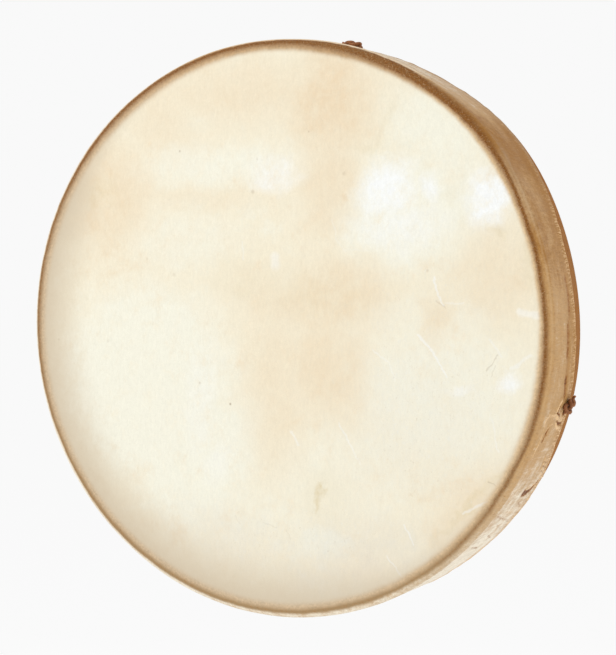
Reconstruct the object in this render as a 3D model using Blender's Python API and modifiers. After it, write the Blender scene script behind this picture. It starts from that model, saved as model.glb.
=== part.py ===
"""Hand-held frame drum: a bent wooden hoop, a rawhide head and a thong cross with a woven grip.

Lengths are in metres. The drum stands upright with its head towards -Y and its open back towards +Y.
The origin is the middle of the hand grip, where the two thongs cross.
"""

import math

import bpy
from mathutils import Vector

# Driving dimensions
DRUM_RADIUS = 0.250
DRUM_DEPTH = 0.0805
GRIP_SETBACK = 0.0555
HIDE_THICKNESS = 0.0010
HOOP_THICKNESS = 0.0100
BEARING_ROUND = 0.0072
BACK_ROUND = 0.0015
FIT_GAP = 0.0003

# The hide's cut edge on the hoop's side: its usual depth, its waves (turns, size, phase in degrees)
# and the places where it was cut short (angle, half width, how much shorter)
HEM_DEPTH = 0.0755
HEM_WAVES = ((3, 0.0010, 20.0), (7, 0.0007, 75.0), (17, 0.0004, 10.0))
HEM_DIPS = ((9.0, 18.0, 0.0170), (-21.0, 5.0, 0.0065), (196.0, 14.0, 0.0070))

# The thongs: the angle of one hole of each, counted from +X towards +Z
THONG_DIAMETER = 0.0030
THONG_ANGLES = {"thong_upright": 76.3, "thong_level": 164.6}
HOLE_RADIUS = 0.0022

# A stopper knot's route in thousandths: along the rim, towards the back, and above the hide
KNOT_ROUTE = (
    (0.0, 0.0, -1.4),
    (0.2, 0.0, 1.0),
    (2.5, 0.0, 1.8),
    (4.9, 0.0, 3.4),
    (6.7, 0.0, 5.3),
    (8.8, -0.2, 5.9),
    (11.2, 0.0, 5.0),
    (13.1, 1.4, 3.5),
    (13.4, 4.2, 2.2),
    (11.6, 6.2, 1.8),
    (8.8, 6.4, 1.8),
    (5.6, 6.0, 2.7),
    (3.0, 4.2, 4.6),
    (2.1, 0.8, 5.8),
    (2.5, -2.6, 5.0),
    (4.5, -4.7, 3.2),
    (7.1, -4.2, 2.0),
    (8.6, -1.4, 1.8),
    (8.9, 1.6, 2.5),
    (9.0, 4.4, 4.7),
    (9.8, 6.8, 5.6),
    (11.8, 8.4, 4.8),
    (14.4, 8.9, 3.3),
    (16.8, 8.5, 3.6),
    (18.6, 8.0, 4.9),
)
KNOT_STEPS = 3

# The grip: one lace folded round an arm of the cross, its two halves woven outwards as a pair
LACE_DIAMETER = 0.0022
LACE_START = 0.0060
LACE_PITCH = 0.0027
LACE_TURNS = 4.5
LACE_STEPS = 24
FOLD_STEPS = 7
LACE_TAIL = 0.0080

# Facets
HOOP_STEPS = 96
ROUND_STEPS = 5
SMALL_ROUND_STEPS = 2
FACE_RINGS = (0.0, 0.12, 0.21)
SIDE_ROWS = 5
HOLE_SIDES = 16
TUBE_RESOLUTION = 1
SMOOTH_ANGLE = 40.0

# How finely the knots and the lace are measured
KNOT_MEASURE = 0.0004
LACE_MEASURE = 0.0006

# Values that follow from the ones above
HOOP_RADIUS = DRUM_RADIUS - HIDE_THICKNESS - FIT_GAP
HOOP_FRONT = HIDE_THICKNESS + FIT_GAP
HIDE_ROUND = BEARING_ROUND + FIT_GAP + HIDE_THICKNESS
THONG_LIFT = (THONG_DIAMETER + FIT_GAP) / 2
WRAP_RADIUS = (THONG_DIAMETER + LACE_DIAMETER) / 2 + FIT_GAP
INNER_RADIUS = HOOP_RADIUS - HOOP_THICKNESS
KNOT_APART = 2.5 * THONG_DIAMETER
LACE_APART = 2 * LACE_DIAMETER


def clear_scene():
    """Removes whatever the file holds, so that the drum stands alone."""
    for obj in list(bpy.data.objects):
        bpy.data.objects.remove(obj, do_unlink=True)
    for collection in list(bpy.data.collections):
        bpy.data.collections.remove(collection)


def new_collection(name):
    collection = bpy.data.collections.new(name)
    bpy.context.scene.collection.children.link(collection)
    return collection


def new_material(name, colour, roughness):
    material = bpy.data.materials.new(name)
    material.use_nodes = True
    shader = material.node_tree.nodes["Principled BSDF"]
    shader.inputs["Base Color"].default_value = (*colour, 1.0)
    shader.inputs["Roughness"].default_value = roughness
    shader.inputs["Metallic"].default_value = 0.0
    return material


def smooth(obj):
    obj.data.shade_smooth()
    obj.data.set_sharp_from_angle(angle=math.radians(SMOOTH_ANGLE))


def evaluated_mesh(obj):
    """A plain mesh of the object with its modifiers applied."""
    graph = bpy.context.evaluated_depsgraph_get()
    return bpy.data.meshes.new_from_object(obj.evaluated_get(graph))


def corner(centre_radius, centre_depth, size, start, steps):
    """A quarter round as (radius, depth); its angles run from outwards (0) towards the back (90)."""
    points = []
    for i in range(steps + 1):
        angle = math.radians(start + 90.0 * i / steps)
        points.append((centre_radius + size * math.cos(angle), centre_depth + size * math.sin(angle)))
    return points


def turned(name, profile, closed, collection):
    """Turns a profile of (radius, depth behind the face) about the drum's axis."""
    points = [(radius, 0.0, -depth) for radius, depth in profile]
    edges = [(i, i + 1) for i in range(len(points) - 1)]
    if closed:
        edges.append((len(points) - 1, 0))
    mesh = bpy.data.meshes.new(name)
    mesh.from_pydata(points, edges, [])
    obj = bpy.data.objects.new(name, mesh)
    collection.objects.link(obj)
    obj.location.y = -GRIP_SETBACK
    obj.rotation_euler.x = math.pi / 2
    screw = obj.modifiers.new("Turn", "SCREW")
    screw.steps = HOOP_STEPS
    screw.render_steps = HOOP_STEPS
    screw.use_merge_vertices = True
    screw.merge_threshold = 0.00001
    return obj


def as_turned_mesh(obj):
    """Swaps the object's profile for the turned mesh, so that its points can be moved."""
    mesh = evaluated_mesh(obj)
    obj.modifiers.clear()
    obj.data = mesh


def cut(obj, cutters):
    for cutter in cutters:
        boolean = obj.modifiers.new("Hole", "BOOLEAN")
        boolean.operation = "DIFFERENCE"
        boolean.solver = "EXACT"
        boolean.object = cutter


def rim_point(angle, radius, back):
    """A point at an angle round the hoop, a radius from the axis and a distance behind the grip."""
    turn = math.radians(angle)
    return Vector((radius * math.cos(turn), back, radius * math.sin(turn)))


def hole_cutters(collection):
    """One pin across the wall of the hoop at each end of each thong."""
    cutters = []
    for name, angle in THONG_ANGLES.items():
        for end in (angle, angle + 180.0):
            bpy.ops.mesh.primitive_cylinder_add(
                vertices=HOLE_SIDES,
                radius=HOLE_RADIUS,
                depth=3 * HOOP_THICKNESS,
                location=rim_point(end, DRUM_RADIUS - HOOP_THICKNESS / 2, 0.0),
                rotation=(0.0, math.radians(90.0 - end), 0.0),
            )
            cutter = bpy.context.object
            cutter.name = f"hole_{name}_{len(cutters)}"
            for old in list(cutter.users_collection):
                old.objects.unlink(cutter)
            collection.objects.link(cutter)
            cutter.hide_render = True
            cutter.display_type = "WIRE"
            cutters.append(cutter)
    return cutters


def make_hoop(collection, cutters, material):
    """The bent strip of wood, with a round bearing edge under the hide and four holes."""
    round_radius = HOOP_RADIUS - BEARING_ROUND
    round_depth = HOOP_FRONT + BEARING_ROUND
    outer = HOOP_RADIUS - BACK_ROUND
    inner = INNER_RADIUS + BACK_ROUND
    front = HOOP_FRONT + BACK_ROUND
    back = DRUM_DEPTH - BACK_ROUND
    profile = corner(round_radius, round_depth, BEARING_ROUND, -90.0, ROUND_STEPS)
    profile += corner(outer, back, BACK_ROUND, 0.0, SMALL_ROUND_STEPS)
    profile += corner(inner, back, BACK_ROUND, 90.0, SMALL_ROUND_STEPS)
    profile += corner(inner, front, BACK_ROUND, 180.0, SMALL_ROUND_STEPS)
    hoop = turned("hoop", profile, True, collection)
    as_turned_mesh(hoop)
    smooth(hoop)
    cut(hoop, cutters)
    hoop.data.materials.append(material)
    return hoop


def hem_depth(angle):
    """How far behind the face the hide's cut edge lies at an angle round the hoop."""
    depth = HEM_DEPTH
    for turns, size, phase in HEM_WAVES:
        depth += size * math.sin(turns * math.radians(angle) + math.radians(phase))
    for centre, width, size in HEM_DIPS:
        away = (angle - centre + 180.0) % 360.0 - 180.0
        depth -= size * math.exp(-0.5 * (away / width) ** 2)
    return depth


def trim_hem(mesh):
    """Pulls the hide's side up or down so that its last row follows the cut edge."""
    for vertex in mesh.vertices:
        depth = -vertex.co.z
        if depth <= HIDE_ROUND:
            continue
        angle = math.degrees(math.atan2(vertex.co.y, vertex.co.x))
        share = (depth - HIDE_ROUND) / (HEM_DEPTH - HIDE_ROUND)
        vertex.co.z = -(HIDE_ROUND + share * (hem_depth(angle) - HIDE_ROUND))


def make_head(collection, cutters, material):
    """The rawhide, flat across the drum, over the bearing edge and down the hoop's side."""
    profile = [(radius, 0.0) for radius in FACE_RINGS]
    profile += corner(DRUM_RADIUS - HIDE_ROUND, HIDE_ROUND, HIDE_ROUND, -90.0, ROUND_STEPS)
    for i in range(1, SIDE_ROWS + 1):
        profile.append((DRUM_RADIUS, HIDE_ROUND + (HEM_DEPTH - HIDE_ROUND) * i / SIDE_ROWS))
    head = turned("rawhide_head", profile, False, collection)
    as_turned_mesh(head)
    trim_hem(head.data)
    wall = head.modifiers.new("Hide", "SOLIDIFY")
    wall.thickness = HIDE_THICKNESS
    wall.offset = -1.0
    wall.use_even_offset = True
    cut(head, cutters)
    smooth(head)
    head.data.materials.append(material)
    return head


def through(points, steps):
    """A smooth line through the points, with a number of steps between each two."""
    line = []
    last = len(points) - 1
    for i in range(last):
        before = points[max(i - 1, 0)]
        after = points[min(i + 2, last)]
        here, there = points[i], points[i + 1]
        for j in range(steps):
            t = j / steps
            line.append(
                0.5
                * (
                    2 * here
                    + (there - before) * t
                    + (2 * before - 5 * here + 4 * there - after) * t ** 2
                    + (3 * here - before - 3 * there + after) * t ** 3
                )
            )
    line.append(points[last])
    return line


def least_gap(points, diameter, apart):
    """The least free gap between two stretches of a tube that are some way apart along it."""
    along = [0.0]
    for a, b in zip(points, points[1:]):
        along.append(along[-1] + (b - a).length)
    gap = math.inf
    for i, a in enumerate(points):
        for j in range(i + 1, len(points)):
            if along[j] - along[i] > apart:
                gap = min(gap, (a - points[j]).length - diameter)
    return gap


def evenly(points, step):
    """The same line with points close together, for measuring it."""
    line = []
    for a, b in zip(points, points[1:]):
        count = max(1, math.ceil((b - a).length / step))
        line.extend(a.lerp(b, i / count) for i in range(count))
    line.append(points[-1])
    return line


def make_tube(name, points, diameter, collection, material):
    """A round tube along a line, closed at both ends."""
    curve = bpy.data.curves.new(name, "CURVE")
    curve.dimensions = "3D"
    curve.bevel_depth = diameter / 2
    curve.bevel_resolution = TUBE_RESOLUTION
    curve.use_fill_caps = True
    spline = curve.splines.new("POLY")
    spline.points.add(len(points) - 1)
    for spot, point in zip(spline.points, points):
        spot.co = (*point, 1.0)
    tube = bpy.data.objects.new(name, curve)
    collection.objects.link(tube)
    curve.materials.append(material)
    return tube


def knot_line(angle):
    """The line of one stopper knot, from inside the hoop out to the thong's tail."""
    spots = [rim_point(angle, INNER_RADIUS - THONG_DIAMETER, 0.0)]
    for along, back, above in KNOT_ROUTE:
        turn = math.degrees(along / 1000 / DRUM_RADIUS)
        spots.append(rim_point(angle + turn, DRUM_RADIUS + above / 1000, back / 1000))
    return [spots[0]] + through(spots[1:], KNOT_STEPS)


def make_thong(name, lift, collection, material):
    """One thong, knotted outside the hoop at both ends and pulled tight across its back."""
    angle = THONG_ANGLES[name]
    first = knot_line(angle)
    second = knot_line(angle + 180.0)
    line = list(reversed(first)) + [Vector((0.0, lift, 0.0))] + second
    gap = least_gap(evenly(second, KNOT_MEASURE), THONG_DIAMETER, KNOT_APART)
    print(f"{name}: least gap in a knot {gap * 1000:.2f} mm")
    return make_tube(name, line, THONG_DIAMETER, collection, material)


def arm_lift(radius):
    """How far a thong lies from the middle plane of the cross, at a radius from the crossing."""
    return THONG_LIFT * (1 - radius / (INNER_RADIUS - THONG_DIAMETER))


def woven_half(start, side):
    """One half of the lace: over one thong and under the other (side 1), or the other way (side -1)."""
    first, second = THONG_ANGLES.values()
    middle = (first + second - 90.0) / 2
    points = []
    for i in range(round(LACE_TURNS * LACE_STEPS) + 1):
        turn = i / LACE_STEPS
        angle = first + 360.0 * turn
        radius = start + 2 * LACE_PITCH * turn
        swing = arm_lift(radius) + side * WRAP_RADIUS
        points.append(rim_point(angle, radius, swing * math.cos(2 * math.radians(angle - middle))))
    tail = (points[-1] - points[-2]).normalized() * LACE_TAIL
    points.append(points[-1] + tail)
    return points


def lace_fold():
    """Where the lace turns back round the near side of the first arm."""
    angle = THONG_ANGLES["thong_upright"]
    points = []
    for i in range(1, FOLD_STEPS):
        turn = math.pi * i / FOLD_STEPS
        out = rim_point(angle, LACE_START + LACE_PITCH * i / FOLD_STEPS, THONG_LIFT)
        aside = rim_point(angle - 90.0, WRAP_RADIUS * math.sin(turn), WRAP_RADIUS * math.cos(turn))
        points.append(out + aside)
    return points


def lace_line():
    """The whole lace, from one tail in to the fold and out to the other tail."""
    over = woven_half(LACE_START, 1)
    under = woven_half(LACE_START + LACE_PITCH, -1)
    return list(reversed(over)) + lace_fold() + under


def make_grip(collection, material):
    """The lace that binds the crossing and makes the hand grip."""
    line = lace_line()
    gap = least_gap(evenly(line, LACE_MEASURE), LACE_DIAMETER, LACE_APART)
    print(f"grip_lace: least gap to itself {gap * 1000:.2f} mm")
    return make_tube("grip_lace", line, LACE_DIAMETER, collection, material)


def build():
    clear_scene()
    parts = new_collection("shaman_drum")
    cutting = new_collection("cutters")
    wood = new_material("bent_wood", (0.50, 0.28, 0.14), 0.55)
    hide = new_material("rawhide", (0.86, 0.76, 0.60), 0.60)
    leather = new_material("thong_leather", (0.20, 0.09, 0.05), 0.70)
    lace = new_material("lace_leather", (0.24, 0.11, 0.06), 0.70)
    cutters = hole_cutters(cutting)
    make_hoop(parts, cutters, wood)
    make_head(parts, cutters, hide)
    make_thong("thong_upright", THONG_LIFT, parts, leather)
    make_thong("thong_level", -THONG_LIFT, parts, leather)
    make_grip(parts, lace)


build()
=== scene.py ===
"""Dresses the packed frame drum: its hide, wood, thongs and grip, with a floor, lights and a camera.

Lengths are in metres unless a name or comment says mm. The drum's axis lies along Y, its head faces -Y,
and angles round the rim are counted in degrees from +X towards +Z.
"""

import math
import random

import bmesh
import bpy
import numpy as np
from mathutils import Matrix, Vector, noise


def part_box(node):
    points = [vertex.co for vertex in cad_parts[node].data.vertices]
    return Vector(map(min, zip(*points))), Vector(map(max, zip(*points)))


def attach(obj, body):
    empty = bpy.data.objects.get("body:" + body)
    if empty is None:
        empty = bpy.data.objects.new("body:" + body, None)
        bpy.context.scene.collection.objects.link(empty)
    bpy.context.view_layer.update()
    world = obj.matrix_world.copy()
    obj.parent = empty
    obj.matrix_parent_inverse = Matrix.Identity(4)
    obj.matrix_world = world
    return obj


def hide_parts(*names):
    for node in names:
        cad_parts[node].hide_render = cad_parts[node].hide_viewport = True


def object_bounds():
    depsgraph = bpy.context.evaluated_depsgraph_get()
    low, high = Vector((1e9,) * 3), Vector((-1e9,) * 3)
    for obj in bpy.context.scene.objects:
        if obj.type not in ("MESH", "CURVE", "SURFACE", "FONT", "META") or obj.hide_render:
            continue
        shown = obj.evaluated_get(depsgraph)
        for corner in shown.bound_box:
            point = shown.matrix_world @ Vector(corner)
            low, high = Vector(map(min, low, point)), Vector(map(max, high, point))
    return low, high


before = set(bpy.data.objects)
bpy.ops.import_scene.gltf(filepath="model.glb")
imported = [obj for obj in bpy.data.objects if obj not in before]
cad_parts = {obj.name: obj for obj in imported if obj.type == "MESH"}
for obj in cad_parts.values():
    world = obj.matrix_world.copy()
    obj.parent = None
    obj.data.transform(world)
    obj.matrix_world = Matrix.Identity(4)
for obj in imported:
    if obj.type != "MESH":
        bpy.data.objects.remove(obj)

bl_info = {
    "name": "Frame Drum",
    "version": (1, 0, 0),
    "blender": (4, 5, 0),
    "location": "View3D > Sidebar > Drum",
    "description": "Builds the hide, wood, thongs and grip of a hand-held frame drum",
    "category": "Object",
}

BODY = "root"
MM = 0.001


def corners(low, high):
    return [list(low), list(high)]


CAD_BOX = corners(*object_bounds())
HEAD_LOW, HEAD_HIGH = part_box("rawhide_head")
HOOP_LOW, HOOP_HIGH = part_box("hoop")
DRUM_RADIUS = (HEAD_HIGH[0] - HEAD_LOW[0]) / 2
HOOP_RADIUS = (HOOP_HIGH[0] - HOOP_LOW[0]) / 2
FACE_PLANE = HEAD_LOW[1]
HOOP_BACK = HOOP_HIGH[1]
HOOP_FRONT = HOOP_LOW[1]

# The hide's profile, as in the solids but for the last dip, which the photo's outline asks for.
# Waves: turns, size, phase. Dips: angle, half width in degrees, how much shorter.
HIDE_THICKNESS = 0.0010
HIDE_ROUND = 0.0085
ROUND_CENTRE = DRUM_RADIUS - HIDE_ROUND
HEM_DEPTH = 0.0755
HEM_WAVES = ((3, 0.001, 20), (7, 0.0007, 75), (17, 0.0004, 10))
HEM_DIPS = ((9, 18, 0.017), (-21, 5, 0.0065), (196, 14, 0.007), (57, 13, 0.0035))

# The hoop's section, as in the solids, and its glued scarf: the angle where it crosses the middle of the
# strip, its slant in degrees per mm and how far its end stands proud of the inner wall
HOOP_WALL = 0.0100
BEARING_ROUND = 0.0072
BACK_ROUND = 0.0015
BEARING_CORNER = 3
HOLE_RADIUS = 0.0022
INNER_RADIUS = HOOP_RADIUS - HOOP_WALL
SCARF_ANGLE = -99.0
SCARF_SLANT = 0.32
SCARF_STEP = 0.0005
GLUE_MIDDLE = 40.0

# The thongs and the lace, as in the solids. A knot's route is in mm: along the rim, back and above the hide.
THONG_DIAMETER = 0.0030
THONG_ANGLES = {"thong_upright": 76.3, "thong_level": 164.6}
HOLE_ANGLES = [end for angle in THONG_ANGLES.values() for end in (angle, angle + 180.0)]
FIT_GAP = 0.0003
THONG_LIFT = (THONG_DIAMETER + FIT_GAP) / 2
KNOT_ROUTE = (
    (0, 0, -1.4), (0.2, 0, 1), (2.5, 0, 1.8), (4.9, 0, 3.4), (6.7, 0, 5.3), (8.8, -0.2, 5.9), (11.2, 0, 5),
    (13.1, 1.4, 3.5), (13.4, 4.2, 2.2), (11.6, 6.2, 1.8), (8.8, 6.4, 1.8), (5.6, 6, 2.7), (3, 4.2, 4.6),
    (2.1, 0.8, 5.8), (2.5, -2.6, 5), (4.5, -4.7, 3.2), (7.1, -4.2, 2), (8.6, -1.4, 1.8), (8.9, 1.6, 2.5),
    (9, 4.4, 4.7), (9.8, 6.8, 5.6), (11.8, 8.4, 4.8), (14.4, 8.9, 3.3), (16.8, 8.5, 3.6), (18.6, 8, 4.9),
)
# How wide and how high the knots of each thong were pulled
KNOT_PULL = {"thong_upright": (1.22, 0.64), "thong_level": (0.78, 0.95)}
KNOT_STEPS = 4
LACE_DIAMETER = 0.0022
LACE_START = 0.0060
LACE_PITCH = 0.0027
LACE_TURNS = 4.5
LACE_STEPS = 36
FOLD_STEPS = 9
LACE_TAIL = 0.0080
WRAP_RADIUS = (THONG_DIAMETER + LACE_DIAMETER) / 2 + FIT_GAP

# The hoop is not quite round: angle of each bulge, its width in degrees, and how far it pushes the drum
# outwards at the front and at the back, in mm
BULGES = (
    (40, 12, 1.9, 3.6), (57, 9, 0, -1.4), (87, 13, -2.3, -1), (116, 12, -0.9, -0.4), (-24, 14, 0, 1.7),
    (-66, 12, 0.2, 0.9), (190, 34, -0.5, 0), (236, 18, -0.7, 0),
)

# The hide's mesh: columns round the rim in degrees, closer together where the side is creased, and rows
MERGE_DISTANCE = 0.00002
FINE_FROM, FINE_TO = -48.0, 14.0
FINE_STEP, COARSE_STEP = 0.25, 0.6
FACE_ROWS, ROUND_ROWS, SIDE_ROWS = 22, 10, 56
LINING_FACE_ROWS, LINING_ROUND_ROWS, LINING_SIDE_ROWS = 9, 4, 3
CUTTER_SIDES = 20
CUTTER_SEED = 11
# How far from the hem the hide lies loose, and the torn fibres' thickness and how far they lean
LOOSE_REACH = 0.004
FIBRE_THICKNESS = 0.00016
FIBRE_SLANT = 0.8

CREASE_WIDTH = 1.35
CREASE_HEIGHT = 1.5
CREASE_TONE = 1.25
# Creases and folds on the hide's side, in order: points (angle, depth in mm behind the face), half width
# in mm, height in mm (below zero for a groove), and tone (below zero darker, above zero paler)
# Below zero, a tone is partly the hide's darker fold and partly painted shade in the groove
CREASES = (
    (((10, 46), (7, 47.6), (3.6, 47.2)), 3.2, -0.3, -0.3),
    (((1.4, 42.4), (-1.7, 41.6), (-4, 42.8)), 3.2, -0.25, -0.3),
    (((-1, 46), (-5, 46.4), (-9.3, 47)), 3.6, -0.3, -0.25), (((-9, 46.6), (-12, 49.8)), 2.2, -0.4, -0.6),
    (((-1.5, 50), (-6, 50.5), (-11, 54)), 3.4, 0.3, 0.3),
    (((-15.9, 40), (-16.6, 46), (-16.9, 55)), 1, 0.8, 2.2),
    (((-17.3, 43), (-18.3, 50), (-18.5, 57)), 0.9, 0.7, 2),
    (((-14.9, 38.5), (-13.8, 41), (-13, 45.5)), 0.8, 0.5, 1.6),
    (((-16.9, 44), (-17.5, 50), (-17.7, 58)), 0.9, -0.6, -2.4), (((-15.4, 41), (-16, 48)), 0.8, -0.5, -2),
    (((-15.2, 40), (-14, 43.5)), 0.8, -0.4, -1.6),
    (((-15.8, 46), (-15.6, 33), (-15.3, 19.5), (-16, 13.8), (-17.9, 14.5), (-20.6, 15.5),
     (-23.5, 12)), 1.1, 0.7, 0.5), (((-16.9, 46), (-17.4, 30), (-18.4, 21)), 1, 0.4, 0.3),
    (((-18, 29), (-18.9, 26.5), (-20.6, 24.5)), 0.9, -0.45, -0.6),
    (((-19, 26), (-19.6, 29.5)), 0.7, -0.3, -0.45), (((-24.9, 51), (-25.3, 59), (-26.1, 66)), 0.9, 0.7, 0.8),
    (((-25.8, 53), (-26.3, 60), (-27, 67)), 0.9, 0.7, 0.8),
    (((-26.9, 55), (-27.4, 62), (-28.1, 68.5)), 0.9, 0.6, 0.7),
    (((-28, 57), (-28.5, 64), (-29.1, 70)), 0.9, 0.5, 0.6),
    (((-25.4, 54), (-25.8, 61), (-26.6, 67)), 0.7, -0.35, -0.6),
    (((-26.4, 56), (-26.9, 62), (-27.6, 68)), 0.7, -0.35, -0.6),
    (((-27.5, 58), (-28, 64), (-28.7, 69.5)), 0.7, -0.3, -0.5),
    (((-31.4, 42), (-32.2, 49), (-32.9, 56)), 0.8, -0.3, -0.3),
    (((-32.4, 45), (-32.5, 52), (-32, 58), (-30.6, 64)), 1.9, -0.75, -1.2),
    (((-31.4, 48), (-31.2, 54), (-30, 60)), 0.9, 0.5, 0.5),
    (((-37, 16), (-37.5, 24), (-38.2, 33), (-38.4, 40)), 0.9, -0.3, -0.28),
    (((-38.6, 41), (-39.3, 54), (-40.4, 67)), 1, -0.25, -0.18),
    (((-36.4, 30), (-36.8, 44), (-37.6, 58), (-38.7, 70)), 0.8, 0.4, 0.3),
    (((-34.6, 49), (-35.4, 56), (-36.2, 63)), 1, -0.3, -0.25),
    (((-40.2, 38), (-41, 50), (-42.2, 62)), 1.1, -0.25, -0.18), (((-43, 40), (-44.2, 54)), 0.9, -0.3, -0.3),
    (((-46, 26), (-46.6, 40), (-47.3, 50)), 0.9, -0.35, -0.35),
    (((43.6, 15), (44.2, 22), (44, 29)), 1.4, -0.25, -0.35), (((41, 12), (39.5, 20)), 1.6, 0.25, 0.2),
    (((168, 30), (172, 44), (171, 60)), 1.6, -0.3, -0.3),
    (((214, 20), (216.5, 38), (214.5, 58)), 1.8, 0.4, 0.25),
    (((248, 34), (251, 48), (250, 66)), 1.6, -0.3, -0.35),
    (((121, 42), (118, 55), (119.5, 68)), 1.6, -0.3, -0.3),
)

# How the hide's colour changes round the rim: (angle, value). Places are in mm along the hide's profile,
# from where the rounding starts.
# Width in mm and strength of the painted shade along the face's edge, strongest at the left and bottom
SHADE_WIDTHS = (
    (-165, 42), (-135, 42), (-112, 40), (-90, 38), (-75, 30), (-60, 16), (-40, 9), (-10, 6), (10, 5),
    (105, 5), (125, 9), (140, 18), (160, 38),
)
SHADE_STRENGTH = (
    (-170, 1), (-110, 1), (-75, 0.9), (-55, 0.6), (-35, 0.35), (-15, 0.2), (5, 0.1), (20, 0), (100, 0),
    (120, 0.3), (140, 0.7), (160, 1),
)
BAND_START = (
    (-170, -10), (-130, -10), (-90, -9.5), (-60, -8.6), (-40, -7.6), (-20, -7), (-10, -6.4), (0, -5.4),
    (10, -4.6), (20, -5), (32, -4.7), (42, -4.8), (52, -5), (60, -6.2), (75, -6.6), (90, -5.8), (110, -8.6),
    (130, -10), (150, -10.2),
)
BAND_EDGE = (
    (-170, -2.2), (-130, -2.2), (-90, -2), (-75, -1.8), (-60, -1.4), (-40, -1.1), (-30, -0.9), (-20, -0.5),
    (0, -0.7), (10, -0.7), (20, -0.7), (32, -0.8), (42, -0.5), (52, -0.3), (60, -0.9), (75, -1.1), (90, 0.3),
    (110, -1), (130, -2), (150, -2.6),
)
BAND_CORE = (
    (-170, 2), (-150, 1.3), (-130, 1.1), (-110, 1.2), (-90, 1.6), (-75, 1.4), (-60, 2.3), (-40, 2.9),
    (-30, 2.2), (-20, 4), (-8, 3.4), (0, 2.6), (20, 2.3), (32, 4), (42, 2.8), (52, 1.8), (62, 1.6), (75, 3.4),
    (90, 5), (110, 3.8), (130, 3), (150, 2), (170, 2.4),
)
BAND_OUTER = (
    (-170, 4.5), (-150, 3.6), (-130, 4.4), (-110, 4.3), (-90, 4.4), (-75, 4.7), (-60, 4.4), (-50, 5.4),
    (-40, 5), (-30, 4.8), (-20, 6), (-10, 6.2), (0, 5.4), (10, 4.8), (20, 4.7), (30, 5.9), (38, 7.8),
    (46, 9.4), (54, 9.6), (61, 9.5), (75, 8.9), (90, 8.5), (100, 7.6), (125, 6.3), (150, 4.9), (170, 5),
)
BAND_OUTER_SOFT = (
    (-170, 1.4), (-100, 1.8), (-60, 2), (-40, 2.4), (-25, 1.4), (-8, 2.4), (10, 2.2), (20, 1.3), (30, 1.2),
    (40, 4), (50, 4.4), (58, 1.2), (70, 0.8), (90, 0.8), (130, 1.2),
)
# How dark the band's core is round the rim: partly the hide's own colour, partly painted shade, darkest at
# the upper right
BAND_DARK = (
    (-170, 0.46), (-150, 0.26), (-130, 0.22), (-110, 0.16), (-90, 0.14), (-60, 0.14), (-45, 0.36),
    (-30, 0.54), (-20, 0.66), (-10, 0.84), (10, 0.92), (25, 0.97), (55, 0.95), (75, 0.84), (90, 0.94),
    (130, 0.92), (150, 0.7), (170, 0.6),
)
EDGE_BROWN = (
    (-170, 0.42), (-130, 0.42), (-110, 0.4), (-90, 0.32), (-75, 0.28), (-60, 0.26), (-45, 0.2), (-25, 0.02),
    (30, 0), (42, 0.08), (50, 0.2), (58, 0.6), (66, 0.7), (90, 0.5), (110, 0.42), (130, 0.42), (150, 0.42),
)
# Where the painted highlight along the band's rounded outer edge lies, and how strong it is
HIGHLIGHT_LINE = (
    (-165, 9), (-60, 9), (20, 9), (50, 15), (60, 11.8), (68, 11.2), (75, 10.8), (85, 10.4), (95, 9.6),
    (130, 8.6),
)
HIGHLIGHT_STRENGTH = (
    (-165, 0), (-60, 0), (-10, 0.1), (10, 0.15), (30, 0.1), (48, 0), (55, 0.4), (60, 0.9), (85, 0.8),
    (95, 0.3), (130, 0.1),
)
SIDE_LEVELS = (
    (-150, 0.95), (-100, 0.92), (-75, 0.92), (-60, 0.97), (-52, 0.98), (-40, 0.83), (-30, 0.73), (-22, 0.56),
    (-15, 0.54), (-5, 0.5), (3, 0.46), (10, 0.34), (20, 0.21), (28, 0.26), (35, 0.04), (41, 0.19), (46, 0.47),
    (54, 0.6), (62, 0.71), (72, 0.74), (95, 0.6), (130, 0.8),
)
# Darker and greyer hide next to the band, and how far down the side the darker hide reaches
DARK_SHOULDER = (
    (-165, 0), (-75, 0.08), (-60, 0.24), (-45, 0.36), (-34, 0.32), (-24, 0.16), (0, 0.02), (25, 0.04),
    (35, 0.06), (41, 0.2), (48, 0.32), (55, 0.24), (62, 0), (90, 0),
)
SHOULDER_GREY = (
    (-165, 0), (-75, 0), (-60, 0.2), (-50, 0.4), (-40, 0.3), (-30, 0.12), (-15, 0), (14, 0), (20, 0.08),
    (30, 0.22), (36, 0.08), (44, 0), (90, 0),
)
SHOULDER_REACH = ((-165, 16), (25, 15), (31, 15), (38, 30), (46, 28), (56, 18), (90, 16))
SIDE_STREAKS = (
    (-150, 0.25), (-45, 0.42), (-20, 0.22), (15, 0.14), (38, 0.14), (52, 0.42), (66, 0.85), (90, 0.6),
)
# Browner hide near the hem, and a thin dark line there
DARK_HEM = (
    (-165, 0), (-24, 0), (-16, 0.3), (-6, 0.5), (10, 0.35), (20, 0.4), (30, 0.75), (42, 0.6), (50, 0.2),
    (62, 0.14), (70, 0), (90, 0),
)
HEM_LINE = ((-165, 0), (15, 0), (30, 0.3), (45, 0.8), (65, 0.8), (75, 0.4), (90, 0))

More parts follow.
